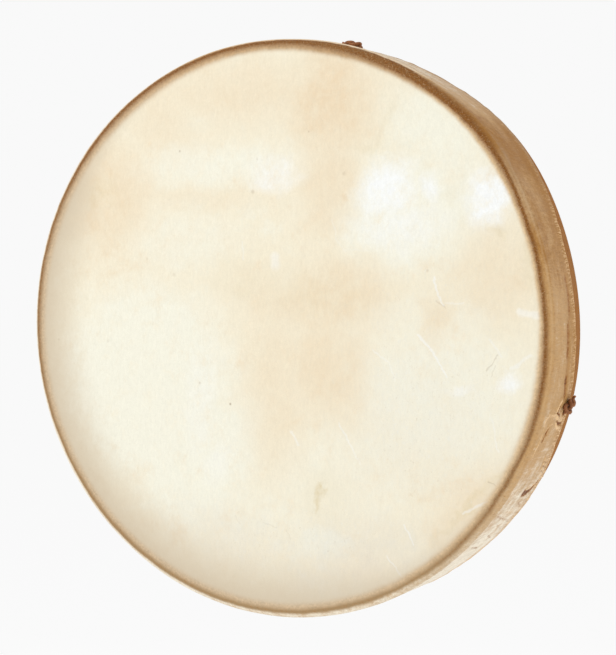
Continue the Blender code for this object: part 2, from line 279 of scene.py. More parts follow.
# Marks on the head's face, in mm from its middle: x, z, half width, half height, turn in degrees, strength,
# softness of the outline
GREEN_PATCHES = (
    (-128, -52, 92, 86, 8, 1, 0.32), (-78, -110, 62, 66, -30, 1, 0.44), (-60, 142, 70, 17, 3, 0.8, 0.6),
    (-84, 76, 48, 26, 0, 0.55, 0.6), (128, 98, 62, 46, 8, 1, 0.44), (150, 158, 46, 26, -38, 0.9, 0.6),
    (156, -52, 74, 58, -12, 0.75, 0.6), (118, 12, 24, 13, 0, 0.6, 0.6), (183, 10, 18, 14, 0, 0.6, 0.6),
    (70, -120, 74, 40, 14, 0.5, 0.6), (46, -180, 24, 13, 0, 0.8, 0.6), (-10, -160, 60, 24, 0, 0.5, 0.6),
)
WARM_PATCHES = (
    (-168, 118, 40, 42, -30, 0.62, 0.66), (-186, 98, 22, 17, 0, 0.7, 0.88), (-92, 113, 68, 8, 2, 0.24, 0.9),
    (-40, 113, 22, 8, 0, 0.2, 0.88), (-10, 205, 96, 24, 0, 0.42, 0.88), (-112, 178, 34, 22, -35, 0.35, 0.88),
    (56, 195, 36, 44, -8, 0.76, 0.6), (48, 204, 15, 30, 0, 0.5, 0.9), (54, 120, 25, 38, -4, 0.46, 0.6),
    (67, 113, 4.5, 13, 8, 0.6, 0.9), (60, 26, 48, 30, 4, 0.6, 0.66), (10, 20, 34, 24, 0, 0.4, 0.88),
    (56, -34, 34, 40, 8, 0.55, 0.66), (4, -50, 26, 60, 0, 0.4, 0.88), (152, 10, 13, 17, 0, 0.55, 0.88),
    (203, 48, 36, 36, 0, 0.42, 0.77), (218, 38, 9, 12, 0, 0.6, 0.88), (190, -142, 22, 52, -44, 0.5, 0.77),
    (92, -202, 34, 12, 10, 0.3, 0.88),
)
OLIVE_PATCHES = (
    (-176, 120, 17, 11, 0, 0.22, 0.8), (90, 170, 25, 18, 20, 0.03, 0.8), (104, 168, 3.5, 22, -18, 0.18, 0.8),
    (90, 154, 9, 4, 0, 0.14, 0.8), (28, 34, 60, 20, -14, 0.1, 0.8), (-22, 38, 32, 16, -20, 0.12, 0.8),
    (204, 83, 6, 4, 0, 0.35, 0.8), (166, 110, 7, 6, 0, 0.12, 0.8), (48, -144, 3.2, 9, -6, 0.6, 0.8),
    (52, -142, 22, 22, 0, 0.14, 0.8), (182, -140, 3, 44, -44, 0.35, 0.8), (232, 60, 6, 22, 0, 0.25, 0.8),
)
GREY_PATCHES = (
    (140, -80, 60, 50, 0, 0.1, 0.7), (80, -198, 84, 34, 12, 0.28, 0.7), (-50, -190, 74, 30, -8, 0.2, 0.6),
)
STROKE_PATCHES = (
    (150, -70, 84, 96, 20, 0.4, 0.6), (20, -178, 110, 30, 8, 0.4, 0.6), (150, 28, 60, 30, 0, 0.34, 0.5),
)
WHITE_PATCHES = (
    (106, 117, 22, 19, 14, 0.85, 0.85), (197, 109, 16, 18, 10, 0.95, 0.8), (146, 118, 8, 9, 0, 0.7, 0.8),
    (118, 88, 34, 18, 0, 0.5, 0.85), (4, 132, 20, 11, 0, 0.5, 0.85), (176, -46, 10, 5, 20, 0.4, 0.8),
    (214, -40, 8, 7, 30, 0.6, 0.8), (-70, -64, 12, 40, -8, 0.2, 0.8), (-52, -118, 12, 16, -40, 0.2, 0.8),
)
# Specks: x, z, half width, strength. Scratches: x and z of both ends, half width, strength.
SPECKS = (
    (-40.5, -66.5, 1, 0.75), (-71, -49, 1, 0.3), (-18, 118, 1.6, 0.32), (36, 168, 0.8, 0.35),
    (69, 131, 1.5, 0.22), (-91, 155, 1, 0.45), (144, 50, 1.2, 0.25), (-221, -14, 1, 0.4),
    (-13.5, 146, 1, 0.2), (-125, 60, 1.2, 0.15), (-97, 46, 1.6, 0.18), (-167, -14, 1.6, 0.15),
)
PALE_SCRATCHES = (
    (136, -2, 148, -15, 1.2, 0.7), (148, -15, 162, -36, 0.7, 0.7), (149, 44, 153, 30, 1, 0.7),
    (153, 30, 158, 22, 0.8, 0.6), (160, 24, 176, 24, 0.8, 0.35), (58, 92, 62, 76, 0.8, 0.25),
    (62, 76, 70, 66, 0.7, 0.2), (68, 67, 92, 66, 0.9, 0.15), (223, 17, 238, 15, 2.8, 0.6),
    (3.5, 62, 3.5, 55, 4.2, 0.55), (64, -78, 78, -102, 0.8, 0.5), (78, -102, 84, -112, 0.7, 0.3),
    (124, -160, 132, -176, 0.8, 0.6), (108, -188, 126, -207, 0.7, 0.55), (20, -88, 26, -98, 1.4, 0.5),
    (95, -16, 110, -26, 0.7, 0.4), (110, -26, 116, -40, 0.6, 0.3), (198, -4, 208, -18, 0.8, 0.4),
    (217, -28, 232, -18, 1.6, 0.5), (176, -148, 196, -136, 0.9, 0.6), (200, -70, 206, -96, 0.8, 0.4),
    (-28, 74, -27, 60, 0.8, 0.35),
)
DARK_SCRATCHES = (
    (196, -30, 206, -18, 0.6, 0.3), (199, -34, 204, -26, 0.5, 0.2), (198, -120, 212, -126, 0.7, 0.35),
    (152, 26, 160, 20, 0.7, 0.22), (-8, -168, 4, -171, 0.6, 0.14), (14, -172, 19, -181, 0.6, 0.14),
    (-36, -164, -31, -171, 0.6, 0.12),
)


# Numbers over the rim --------------------------------------------------------------------------------


def turned_from(angle, centre):
    """How far an angle is from another, between -180 and 180 degrees."""
    return (angle - centre + 180.0) % 360.0 - 180.0


def hem_depth(angle):
    """How far behind the face the hide's cut edge lies at an angle round the hoop."""
    depth = HEM_DEPTH
    for turns, size, phase in HEM_WAVES:
        depth += size * math.sin(turns * math.radians(angle) + math.radians(phase))
    for centre, width, size in HEM_DIPS:
        depth -= size * math.exp(-0.5 * (turned_from(angle, centre) / width) ** 2)
    return depth


def on_rim(angle, radius, back):
    """A point at an angle round the drum, a radius from its axis and a distance behind the grip."""
    turn = math.radians(angle)
    return Vector((radius * math.cos(turn), back, radius * math.sin(turn)))


def rim_noise(angle, scale, seed):
    """Smooth noise round the rim, without a seam, from about -1 to 1."""
    turn = math.radians(angle)
    return noise.noise(Vector((math.cos(turn) * scale, math.sin(turn) * scale, seed)))


def ragged_hem(angle, ragged):
    """The cut edge with the small steps that a knife leaves in dry hide."""
    rough = 1.1 * rim_noise(angle, 14.0, 3.1)
    rough += 0.8 * rim_noise(angle, 60.0, 7.7)
    rough += 0.5 * rim_noise(angle, 190.0, 1.3)
    return hem_depth(angle) + ragged * rough


# Node trees ------------------------------------------------------------------------------------------

FLOAT, INT, VECTOR = "NodeSocketFloat", "NodeSocketInt", "NodeSocketVector"
GEOMETRY, MATERIAL = "NodeSocketGeometry", "NodeSocketMaterial"
SOCKETS = {"VALUE": FLOAT, "VECTOR": VECTOR, "GEOMETRY": GEOMETRY}
ACROSS = (1.0, 0.0, 1.0)


class Value:
    """A node's output, which sums with numbers and other outputs can use. Each step of one adds a node."""

    def __init__(self, socket):
        self.socket = socket
        self.tree = socket.id_data

    def __add__(self, other):
        return calc("ADD", self, other)

    def __sub__(self, other):
        return calc("SUBTRACT", self, other)

    def __rsub__(self, other):
        return calc("SUBTRACT", other, self)

    def __mul__(self, other):
        return calc("MULTIPLY", self, other)

    def __truediv__(self, other):
        return calc("DIVIDE", self, other)

    def __rtruediv__(self, other):
        return calc("DIVIDE", other, self)


def fill(socket, value):
    """Links an input socket to a value, or sets it to a number or a vector."""
    if isinstance(value, Value):
        value.tree.links.new(value.socket, socket)
    else:
        socket.default_value = value


def add_node(kind, inputs, tree=None, **settings):
    """Adds a node, sets it up, and fills its inputs, which are given by name or number."""
    tree = tree or next(value.tree for value in inputs.values() if isinstance(value, Value))
    node = tree.nodes.new(kind)
    for key, value in settings.items():
        setattr(node, key, value)
    for key, value in inputs.items():
        fill(node.inputs[key], value)
    return node


def get(kind, inputs, output=0, **settings):
    """Adds a node and gives one of its outputs."""
    return Value(add_node(kind, inputs, **settings).outputs[output])


def calc(operation, *values, clamp=False):
    return get("ShaderNodeMath", dict(enumerate(values)), operation=operation, use_clamp=clamp)


def vector(operation, *values):
    output = "Value" if operation in ("LENGTH", "DOT_PRODUCT") else 0
    return get("ShaderNodeVectorMath", dict(enumerate(values)), output, operation=operation)


def scaled(value, factor):
    return get("ShaderNodeVectorMath", {0: value, "Scale": factor}, operation="SCALE")


def combined(**axes):
    return get("ShaderNodeCombineXYZ", axes)


def split(value):
    node = add_node("ShaderNodeSeparateXYZ", {0: value})
    return [Value(socket) for socket in node.outputs]


def fade(value, start, end, low=0.0, high=1.0):
    """A soft step from low at start to high at end."""
    inputs = {"Value": value, "From Min": start, "From Max": end, "To Min": low, "To Max": high}
    return get("ShaderNodeMapRange", inputs, "Result", interpolation_type="SMOOTHSTEP")


def blend(factor, first, second, mode="MIX"):
    """One colour laid over another. Each is a value or three numbers."""
    inputs = {0: factor}
    for number, colour in ((6, first), (7, second)):
        inputs[number] = colour if isinstance(colour, Value) else (*colour, 1.0)
    return get("ShaderNodeMix", inputs, 2, data_type="RGBA", blend_type=mode)


def paint(colour, *coats):
    """Lays coats of (mask, colour) over a colour, in order."""
    for mask, tint in coats:
        colour = blend(mask, colour, tint)
    return colour


def shade(colour, amount):
    """A colour made lighter or darker by an amount round zero."""
    level = amount + 1.0
    grey = get("ShaderNodeCombineColor", {0: level, 1: level, 2: level})
    return blend(1.0, colour, grey, "MULTIPLY")


def ramp(factor, colours):
    """A colour that runs through the given ones as the factor goes from 0 to 1."""
    steps = len(colours) - 1
    coats = [(fade(factor, i / steps, (i + 1) / steps), colours[i + 1]) for i in range(steps)]
    return paint(colours[0], *coats)


def noise_at(place, scale, detail, roughness=0.5, output="Fac", **more):
    inputs = {"Vector": place, "Scale": scale, "Detail": detail, "Roughness": roughness, **more}
    return get("ShaderNodeTexNoise", inputs, output)


def grain_at(place, stretch, detail, roughness, scale=1.0):
    """Noise over a place in mm, stretched by a factor along each axis."""
    return noise_at(vector("MULTIPLY", place, stretch), scale, detail, roughness)


def around(value, amount):
    """A noise value turned into a swing of about plus or minus the amount."""
    return (value - 0.5) * (2.0 * amount)


def shifted(place, scale, amount):
    """A place in mm moved about by noise, so that what is drawn there gets an uneven outline."""
    swing = vector("SUBTRACT", noise_at(place, scale, 3.0, output="Color"), (0.5, 0.5, 0.5))
    return vector("ADD", place, scaled(swing, amount))


def by_angle(angle, values, low=0.0, high=1.0):
    """A value between low and high that changes round the rim, through (angle in degrees, value)."""
    node = add_node("ShaderNodeFloatCurve", {"Value": calc("MULTIPLY_ADD", angle, 1 / 360.0, 0.5)})
    curve = node.mapping.curves[0]
    spots = sorted(((at + 180.0) / 360.0, (value - low) / (high - low)) for at, value in values)
    first, last = spots[0], spots[-1]
    across = 1.0 - last[0] + first[0]
    seam = last[1] + (first[1] - last[1]) * (1.0 - last[0]) / across
    curve.points[0].location = (0.0, seam)
    curve.points[1].location = (1.0, seam)
    for at, value in spots:
        if 0.0 < at < 1.0:
            curve.points.new(at, value)
    for point in curve.points:
        point.handle_type = "AUTO_CLAMPED"
    node.mapping.update()
    return calc("MULTIPLY_ADD", Value(node.outputs["Value"]), high - low, low)


def titled(name):
    return name.replace("_", " ").title()


def tree_of(build, kind):
    """The node tree that a function describes, made once and named after it.

    The function's arguments are the tree's inputs, annotated with their socket types, and it returns the
    tree's outputs by name.
    """
    name = titled(build.__name__)
    if name in bpy.data.node_groups:
        return bpy.data.node_groups[name]
    tree = bpy.data.node_groups.new(name, kind)
    for label, socket in build.__annotations__.items():
        tree.interface.new_socket(name=titled(label), in_out="INPUT", socket_type=socket)
    given = tree.nodes.new("NodeGroupInput").outputs
    made = build(*[Value(given[titled(label)]) for label in build.__annotations__])
    for label, value in made.items():
        tree.interface.new_socket(name=label, in_out="OUTPUT", socket_type=SOCKETS[value.socket.type])
    result = tree.nodes.new("NodeGroupOutput")
    for label, value in made.items():
        fill(result.inputs[label], value)
    return tree


def use_group(build, **inputs):
    """Puts a shader group to use. Its outputs come back by name."""
    group = tree_of(build, "ShaderNodeTree")
    inputs = {titled(label): value for label, value in inputs.items()}
    tree = next(value.tree for value in inputs.values() if isinstance(value, Value))
    node = tree.nodes.new("ShaderNodeGroup")
    node.node_tree = group
    for label, value in inputs.items():
        fill(node.inputs[label], value)
    return {socket.name: Value(socket) for socket in node.outputs}


# Shader groups ---------------------------------------------------------------------------------------


def drum_place(object: VECTOR):
    """Turns a place in metres into the drum's own numbers: all in mm, the angle in degrees."""
    place = scaled(object, 1 / MM)
    x, y, z = split(place)
    radius = calc("SQRT", x * x + z * z)
    depth = y - FACE_PLANE / MM
    beyond = radius - ROUND_CENTRE / MM
    before = calc("MAXIMUM", HIDE_ROUND / MM - depth, 0.001)
    bend = calc("ARCTAN2", calc("MAXIMUM", beyond, 0.0), before) * (HIDE_ROUND / MM)
    down = calc("MAXIMUM", depth - HIDE_ROUND / MM, 0.0)
    along = calc("MINIMUM", beyond, 0.0) + bend + down
    angle = calc("DEGREES", calc("ARCTAN2", z, x))
    return {"Place": place, "Radius": radius, "Depth": depth, "Angle": angle, "Along Profile": along}


def hide_grain(place: VECTOR, cloud_size: FLOAT, grain_size: FLOAT):
    """Clouds, fibres and the fine grain of dried hide, and places moved about for uneven outlines."""
    scale = 1.0 / grain_size
    fine = noise_at(place, scale, 3.0, 0.6)
    pores = get("ShaderNodeTexVoronoi", {"Vector": place, "Scale": scale * 0.8}, "Distance")
    return {
        "Cloud": noise_at(place, 1.0 / cloud_size, 6.0, 0.62, Distortion=0.6),
        "Fibre": grain_at(place, (1.0, 1.0, 0.35), 4.0, 0.6, 0.42),
        "Fine": fine,
        "Height": fine + pores * 0.5,
        "Warp": shifted(shifted(place, 0.035, 30.0), 0.16, 9.0),
        "Small Warp": shifted(place, 0.14, 6.0),
    }


def soft_patch(place: VECTOR, middle: VECTOR, turn: FLOAT, half_size: VECTOR, softness: FLOAT):
    """A soft oval patch on the head's face."""
    inputs = {"Vector": vector("SUBTRACT", place, middle), "Angle": turn, "Axis": (0.0, 1.0, 0.0)}
    turned = get("ShaderNodeVectorRotate", inputs, rotation_type="AXIS_ANGLE")
    away = vector("LENGTH", vector("MULTIPLY", vector("DIVIDE", turned, half_size), ACROSS))
    return {"Mask": fade(away, softness + 1.0, 1.0 - softness)}


def scratch(place: VECTOR, start: VECTOR, end: VECTOR, half_width: FLOAT):
    """A soft line between two points of the head's face."""
    run = vector("SUBTRACT", end, start)
    there = vector("SUBTRACT", vector("MULTIPLY", place, ACROSS), start)
    share = calc("DIVIDE", vector("DOT_PRODUCT", there, run), vector("DOT_PRODUCT", run, run), clamp=True)
    away = vector("LENGTH", vector("SUBTRACT", there, scaled(run, share)))
    return {"Mask": fade(away, half_width * 1.5, half_width * 0.3)}


def bent_wood_grain(place: VECTOR, depth: FLOAT, radius: FLOAT):
    """Grain of a bent strip: long lines round the hoop, pores along them and slow changes of tone."""
    drift = (grain_at(place, (0.012, 0.02, 0.012), 2.0, 0.5) - 0.5) * 26.0
    rings = calc("SINE", (depth + drift + radius * 0.8) * 1.7)
    fine = grain_at(place, (0.02, 2.6, 0.02), 3.0, 0.6)
    return {
        "Rings": calc("MULTIPLY_ADD", rings, 0.16, fine),
        "Pores": fade(grain_at(place, (0.16, 5.0, 0.16), 2.0, 0.5), 0.62, 0.75),
        "Tone": grain_at(place, (0.02, 0.05, 0.02), 3.0, 0.6),
    }


def cord_leather(place: VECTOR, grain: FLOAT):
    """Grain, creases and worn ridges of leather cord."""
    inputs = {"Vector": place, "Scale": grain}
    cells = get("ShaderNodeTexVoronoi", inputs, "Distance", feature="DISTANCE_TO_EDGE")
    cracks = fade(cells, 0.12, 0.0)
    height = noise_at(place, grain * 1.6, 3.0) - cracks * 0.6
    return {"Tone": noise_at(place, 0.22, 4.0), "Cracks": cracks, "Height": height}


# Materials -------------------------------------------------------------------------------------------


def bare_material(name, values):
    """A material with only a Principled shader, set to the given values."""
    material = bpy.data.materials.new(name)
    material.use_nodes = True
    shader = material.node_tree.nodes["Principled BSDF"].inputs
    for label, value in values.items():
        shader[label].default_value = value
    return material


def attribute(tree, name, output="Fac"):
    return get("ShaderNodeAttribute", {}, output, tree=tree, attribute_name=name)


def new_material(name, roughness=0.6, gloss=0.3):
    """A material for a piece of the drum. Returns it, its shader's inputs and the drum's numbers."""
    values = {"Roughness": roughness, "Metallic": 0.0, "Specular IOR Level": gloss}
    material = bare_material(name, values)
    tree = material.node_tree
    at = use_group(drum_place, object=attribute(tree, "home", "Vector"))
    return material, tree.nodes["Principled BSDF"].inputs, at


def add_bump(shader, height, distance, strength):
    inputs = {"Height": height, "Distance": distance, "Strength": strength}
    fill(shader["Normal"], get("ShaderNodeBump", inputs, "Normal"))


def strongest(masks):
    total = masks[0]
    for mask in masks[1:]:
        total = calc("MAXIMUM", total, mask)
    return total


def patches(place, rows):
    """The strongest of several soft patches at each point."""
    masks = []
    for x, z, width, height, turn, strength, softness in rows:
        patch = use_group(
            soft_patch, place=place, middle=(x, 0.0, z), turn=math.radians(turn),
            half_size=(width, 1.0, height), softness=softness,
        )
        masks.append(patch["Mask"] * strength)
    return strongest(masks)


def scratches(place, rows):
    """The strongest of several scratches at each point."""
    masks = []
    for x0, z0, x1, z1, half_width, strength in rows:
        line = use_group(scratch, place=place, start=(x0, 0.0, z0), end=(x1, 0.0, z1), half_width=half_width)
        masks.append(line["Mask"] * strength)
    return strongest(masks)


def face_colour(at, grain, hide):
    """The head's face: cream with peach, olive and whitish patches, marks, grain and a greyer edge of painted
    shade.
    """
    place, angle, warp = at["Place"], at["Angle"], grain["Small Warp"]
    small = grain_at(place, (1.0, 1.0, 0.8), 4.0, 0.7, 0.10)
    mixed = around(grain["Cloud"], 0.55) + around(small, 0.35) + 0.5
    colour = ramp(mixed, (hide.face_warm, hide.face_cream, hide.face_green))
    for rows, tint, uneven in (
        (GREEN_PATCHES, hide.face_green, 0.9),
        (WARM_PATCHES, hide.face_warm, 1.1),
        (OLIVE_PATCHES, hide.face_olive, 1.6),
        (GREY_PATCHES, hide.face_grey, 1.2),
        (WHITE_PATCHES, hide.face_pale, 1.3),
    ):
        broken = around(small, uneven) + 1.0
        colour = blend(calc("MULTIPLY", patches(grain["Warp"], rows), broken, clamp=True), colour, tint)
    pale = scratches(warp, PALE_SCRATCHES)
    dots = scratches(place, [(x, z, x, z + 0.2, size, strength) for x, z, size, strength in SPECKS])
    dark = calc("MAXIMUM", scratches(warp, DARK_SCRATCHES), dots)

    # Short strokes of grain, stronger at the lower right and at the bottom
    strokes = grain_at(warp, (0.5, 1.0, 0.22), 4.0, 0.75)
    where = patches(grain["Warp"], STROKE_PATCHES)
    dark = calc("MAXIMUM", dark, fade(strokes, 0.54, 0.78) * where)
    colour = paint(
        colour,
        (pale * 0.7, hide.face_pale),
        (fade(strokes, 0.46, 0.24) * where, hide.face_pale),
        (calc("MULTIPLY", dark, 0.7, clamp=True), hide.speck),
    )
    fine = around(grain["Fibre"], 0.06) + around(grain["Fine"], 0.06) + around(strokes, 0.085)
    # Painted shade along the face's edge at the left and bottom
    inward = at["Along Profile"] * -1.0 / by_angle(angle, SHADE_WIDTHS, 0.0, 80.0) + around(small, 0.16)
    rim = fade(inward, 1.45, -0.1) * by_angle(angle, SHADE_STRENGTH)
    return blend(rim, shade(colour, fine), hide.painted_rim_shade), pale


def side_colour(at, hem, hide):
    """The hide down the side: brown, tan or cream by angle, with streaks round and down it."""
    place, angle = at["Place"], at["Angle"]
    slanted = shifted(place, 0.05, 6.0)
    flame = grain_at(slanted, (0.28, 0.030, 0.28), 4.0, 0.7)
    down = grain_at(slanted, (0.85, 0.10, 0.85), 3.0, 0.65)
    level = by_angle(angle, SIDE_LEVELS)
    for value, amount in (
        (grain_at(slanted, (0.010, 0.10, 0.010), 2.0, 0.5), 0.18),
        (grain_at(slanted, (0.05, 0.5, 0.05), 3.0, 0.6), 0.14),
        (flame, 0.28),
        (down, 0.12),
        (grain_at(place, (0.09, 0.06, 0.09), 4.0, 0.7), 0.27),
    ):
        level += around(value, amount)
    reach = by_angle(angle, SHOULDER_REACH, 0.0, 40.0)
    near = fade(at["Along Profile"], reach, reach * 0.6)
    level -= near * by_angle(angle, DARK_SHOULDER)
    streaks = by_angle(angle, SIDE_STREAKS)
    grit = grain_at(place, (0.5, 0.22, 0.5), 4.0, 0.8)
    colour = paint(
        ramp(level, (hide.side_brown, hide.side_tan, hide.side_pale)),
        (fade(flame, 0.55, 0.35) * streaks * 0.5, hide.side_grey),
        (near * by_angle(angle, SHOULDER_GREY), hide.side_grey),
        (fade(hem, 30.0, 12.0) * by_angle(angle, DARK_HEM), hide.side_brown),
        (fade(grit, 0.54, 0.70) * fade(level, 0.6, 0.15, 0.0, 0.35), hide.fleck),
        (fade(grit, 0.55, 0.72, 0.0, 0.55), hide.side_brown),
        (fade(grit, 0.42, 0.26, 0.0, 0.4), hide.hem_pale),
    )
    spread = (grain_at(slanted, (0.34, 0.035, 0.34), 4.0, 0.75) - 0.5) * streaks
    return shade(colour, spread + around(down, 0.16)), down, flame


def band_colour(at, here, middle, rough, hide):
    """The band over the wood's edge, partly painted shade: a paler inner edge, then a dark core with flecks.
    """
    # The band is partly the hide's own darker colour over the wood and partly painted shade where the wood
    # behind the hide blocks the light through it
    angle = at["Angle"]
    dark = calc("ADD", by_angle(angle, BAND_DARK), around(rough, 0.8), clamp=True)
    edge = paint(
        hide.band_edge,
        (by_angle(angle, EDGE_BROWN), hide.band_brown),
        # The painted rim shade also greys the band's inner edge at the left
        (by_angle(angle, SHADE_STRENGTH) * 0.4, hide.painted_rim_shade),
    )
    span = by_angle(angle, BAND_CORE, -20.0, 20.0) - middle
    deep = calc("DIVIDE", here - middle, span, clamp=True)
    band = shade(blend(deep, edge, blend(dark, hide.band_pale, hide.band_dark)), around(rough, 0.45))
    specks = grain_at(at["Place"], (0.8, 0.5, 0.8), 4.0, 0.8)
    inside = dark * deep
    return paint(
        band,
        (fade(specks, 0.52, 0.64, 0.0, 0.85) * inside, hide.fleck),
        (fade(specks, 0.44, 0.32, 0.0, 0.45) * inside, hide.wear),
    )


def hide_material(hide):
    """The outside of the hide: cream on the face, brown over the wood's edge, partly painted shade, and tan
    down the side.
    """
    material, shader, at = new_material("rawhide_outside", 0.55, 0.12)
    place, angle = at["Place"], at["Angle"]
    tone, hem = attribute(place.tree, "tone"), attribute(place.tree, "hem")
    grain = use_group(hide_grain, place=place, cloud_size=46.0, grain_size=0.9)
    face, lines = face_colour(at, grain, hide)
    side, down, flame = side_colour(at, hem, hide)

    # From the face over the band to the side, and the painted highlight just past the band
    here = at["Along Profile"] + around(noise_at(place, 0.1, 4.0, 0.65), 1.3)
    rough = noise_at(place, 0.55, 4.0, 0.7)
    start, middle, outer, highlight_at = (
        by_angle(angle, values, -20.0, 20.0) for values in (BAND_START, BAND_EDGE, BAND_OUTER, HIGHLIGHT_LINE)
    )
    rise = calc("POWER", fade(here, start, middle + 0.5), 1.8)
    beyond = fade((here - outer) / by_angle(angle, BAND_OUTER_SOFT, 0.0, 20.0), -1.0, 1.0)
    highlit = fade(calc("ABSOLUTE", here - highlight_at), 1.9, 0.2) * by_angle(angle, HIGHLIGHT_STRENGTH)
    band = band_colour(at, here, middle, rough, hide)
    colour = paint(face, (rise, band), (beyond, side), (highlit, hide.wear))

    # Marks on the side, which the mesh carries, and the hem. Darker crease tones are partly painted shade in
    # the grooves.
    tone = tone * (around(rough, 2.2) + 1.0)
    tone = tone * calc("MAXIMUM", calc("MULTIPLY_ADD", flame, 3.0, -0.45), 0.15)
    near_hem = fade(calc("MULTIPLY_ADD", flame, 12.0, hem), 17.0, 8.0)
    lit = calc("MULTIPLY_ADD", by_angle(angle, DARK_HEM), -0.8, 1.0)
    colour = paint(
        colour,
        (fade(tone, 0.02, 1.1), hide.hem_pale),
        # Darker tones: partly the hide's darker folds, partly painted shade in the creases
        (fade(tone, -0.05, -0.6), hide.crease),
        (fade(tone, -0.6, -1.1), hide.slit),
        (near_hem * 0.45, hide.side_brown),
        (near_hem * fade(down, 0.46, 0.60) * lit, hide.hem_pale),
        (fade(hem, 0.9, 0.1, 0.0, 0.9) * lit, hide.hem_pale),
        (fade(hem, 6.0, 2.5) * by_angle(angle, HEM_LINE), hide.band_brown),
    )
    fill(shader["Base Color"], colour)
    fill(shader["Roughness"], fade(grain["Cloud"], 0.3, 0.7, 0.46, 0.6))
    add_bump(shader, grain["Height"] + grain["Fibre"] * 1.2 - lines * 0.6, 0.0001, 0.6)
    return material


def lining_material(hide):
    """The inside of the hide: rougher, yellower and with fibres."""
    material, shader, at = new_material("rawhide_inside", 0.75)
    grain = use_group(hide_grain, place=at["Place"], cloud_size=38.0, grain_size=1.6)
    colour = paint(
        hide.lining,
        (fade(grain["Cloud"], 0.26, 0.76), hide.lining_dark),
        (fade(grain["Fibre"], 0.46, 0.78, 0.0, 0.3), hide.face_cream),
        (fade(at["Radius"], 205.0, 241.0) * 0.5, hide.lining_dark),
    )
    fill(shader["Base Color"], colour)
    add_bump(shader, grain["Height"] + grain["Fibre"] * 2.5, 0.0003, 0.7)
    return material


def fibre_material(hide):
    """Torn fibres at the hide's cut edge."""
    material, shader, at = new_material("hide_fibre", 0.8)
    tone = grain_at(at["Place"], (0.6, 0.6, 0.6), 2.0, 0.5)
    fill(shader["Base Color"], blend(fade(tone, 0.35, 0.65), hide.hem_pale, hide.side_pale))
    return material


def wood_material(hoop):
    """Bare bent wood, darker at the back edge and along the glued scarf."""
    material, shader, at = new_material("bent_wood", 0.6, 0.05)
    depth, radius = at["Depth"], at["Radius"]
    grain = use_group(bent_wood_grain, place=at["Place"], depth=depth, radius=radius)
    rings, pores = grain["Rings"], grain["Pores"]
    outside = fade(radius, (HOOP_RADIUS - 0.0035) / MM, (HOOP_RADIUS - 0.0005) / MM)
    scuffs = fade(grain_at(at["Place"], (0.10, 0.7, 0.10), 4.0, 0.7), 0.50, 0.68)
    slant = calc("MULTIPLY_ADD", depth, SCARF_SLANT, SCARF_ANGLE - SCARF_SLANT * GLUE_MIDDLE)
    glue = fade(calc("ABSOLUTE", at["Angle"] - slant), 0.20, 0.06)
    colour = paint(
        hoop.wood_pale,
        (fade(rings, 0.3, 0.75), hoop.wood_dark),
        (fade(grain["Tone"], 0.35, 0.7, 0.0, 0.6), hoop.wood_dark),
        (outside * fade(rings, 0.7, 0.35, 0.72, 1.0), hoop.wood_outside),
        (scuffs * outside * 0.6, hoop.wood_pore),
        (fade(depth, 76.0, 80.5) * 0.45, hoop.wood_dark),
        (pores * 0.4, hoop.wood_pore),
        (glue * 0.8, hoop.wood_pore),
    )
    fill(shader["Base Color"], colour)
    fill(shader["Roughness"], fade(rings, 0.2, 0.8, 0.52, 0.7))
    add_bump(shader, rings * 0.8 - (pores + glue), 0.00015, 0.7)
    return material


def leather_material(name, cords, grain_size):
    """Dark leather cord, paler where it is rubbed."""
    dark, light = cords.leather_dark, cords.leather_light
    material, shader, at = new_material(name, 0.62, 0.15)
    leather = use_group(cord_leather, place=at["Place"], grain=grain_size)
    wear = get("ShaderNodeNewGeometry", {}, "Pointiness", tree=material.node_tree)
    colour = paint(
        dark,
        (fade(leather["Tone"], 0.35, 0.7), light),
        (leather["Cracks"] * 0.6, [c * 0.5 for c in dark]),
        (fade(wear, 0.52, 0.62, 0.0, 0.4), [min(1.0, c * 1.7) for c in light]),
    )
    fill(shader["Base Color"], colour)
    fill(shader["Roughness"], fade(leather["Tone"], 0.3, 0.7, 0.5, 0.72))
    add_bump(shader, leather["Height"], 0.00012, 0.8)
    return material


# Geometry node trees ---------------------------------------------------------------------------------


def source(tree, kind, output=0):
    """An output of a node that has no inputs."""
    return get(kind, {}, output, tree=tree)


def finished(geometry, material):
    """Ends a geometry tree in Realize Instances and Set Material."""
    real = get("GeometryNodeRealizeInstances", {"Geometry": geometry})
    return {"Geometry": get("GeometryNodeSetMaterial", {"Geometry": real, "Material": material})}


def sweep(path, profile, **more):
    return get("GeometryNodeCurveToMesh", {"Curve": path, "Profile Curve": profile, **more})


def rounded_box(width, height, radius, count):
    """A rectangle with rounded corners, as a curve."""
    section = get("GeometryNodeCurvePrimitiveQuadrilateral", {"Width": width, "Height": height})
    return get("GeometryNodeFilletCurve", {"Curve": section, "Radius": radius, "Count": count}, mode="POLY")


def moved(geometry, offset):
    return get("GeometryNodeSetPosition", {"Geometry": geometry, "Offset": offset})


def placed(geometry, place, rotation):
    inputs = {"Geometry": geometry, "Translation": place, "Rotation": rotation}
    return get("GeometryNodeTransform", inputs)


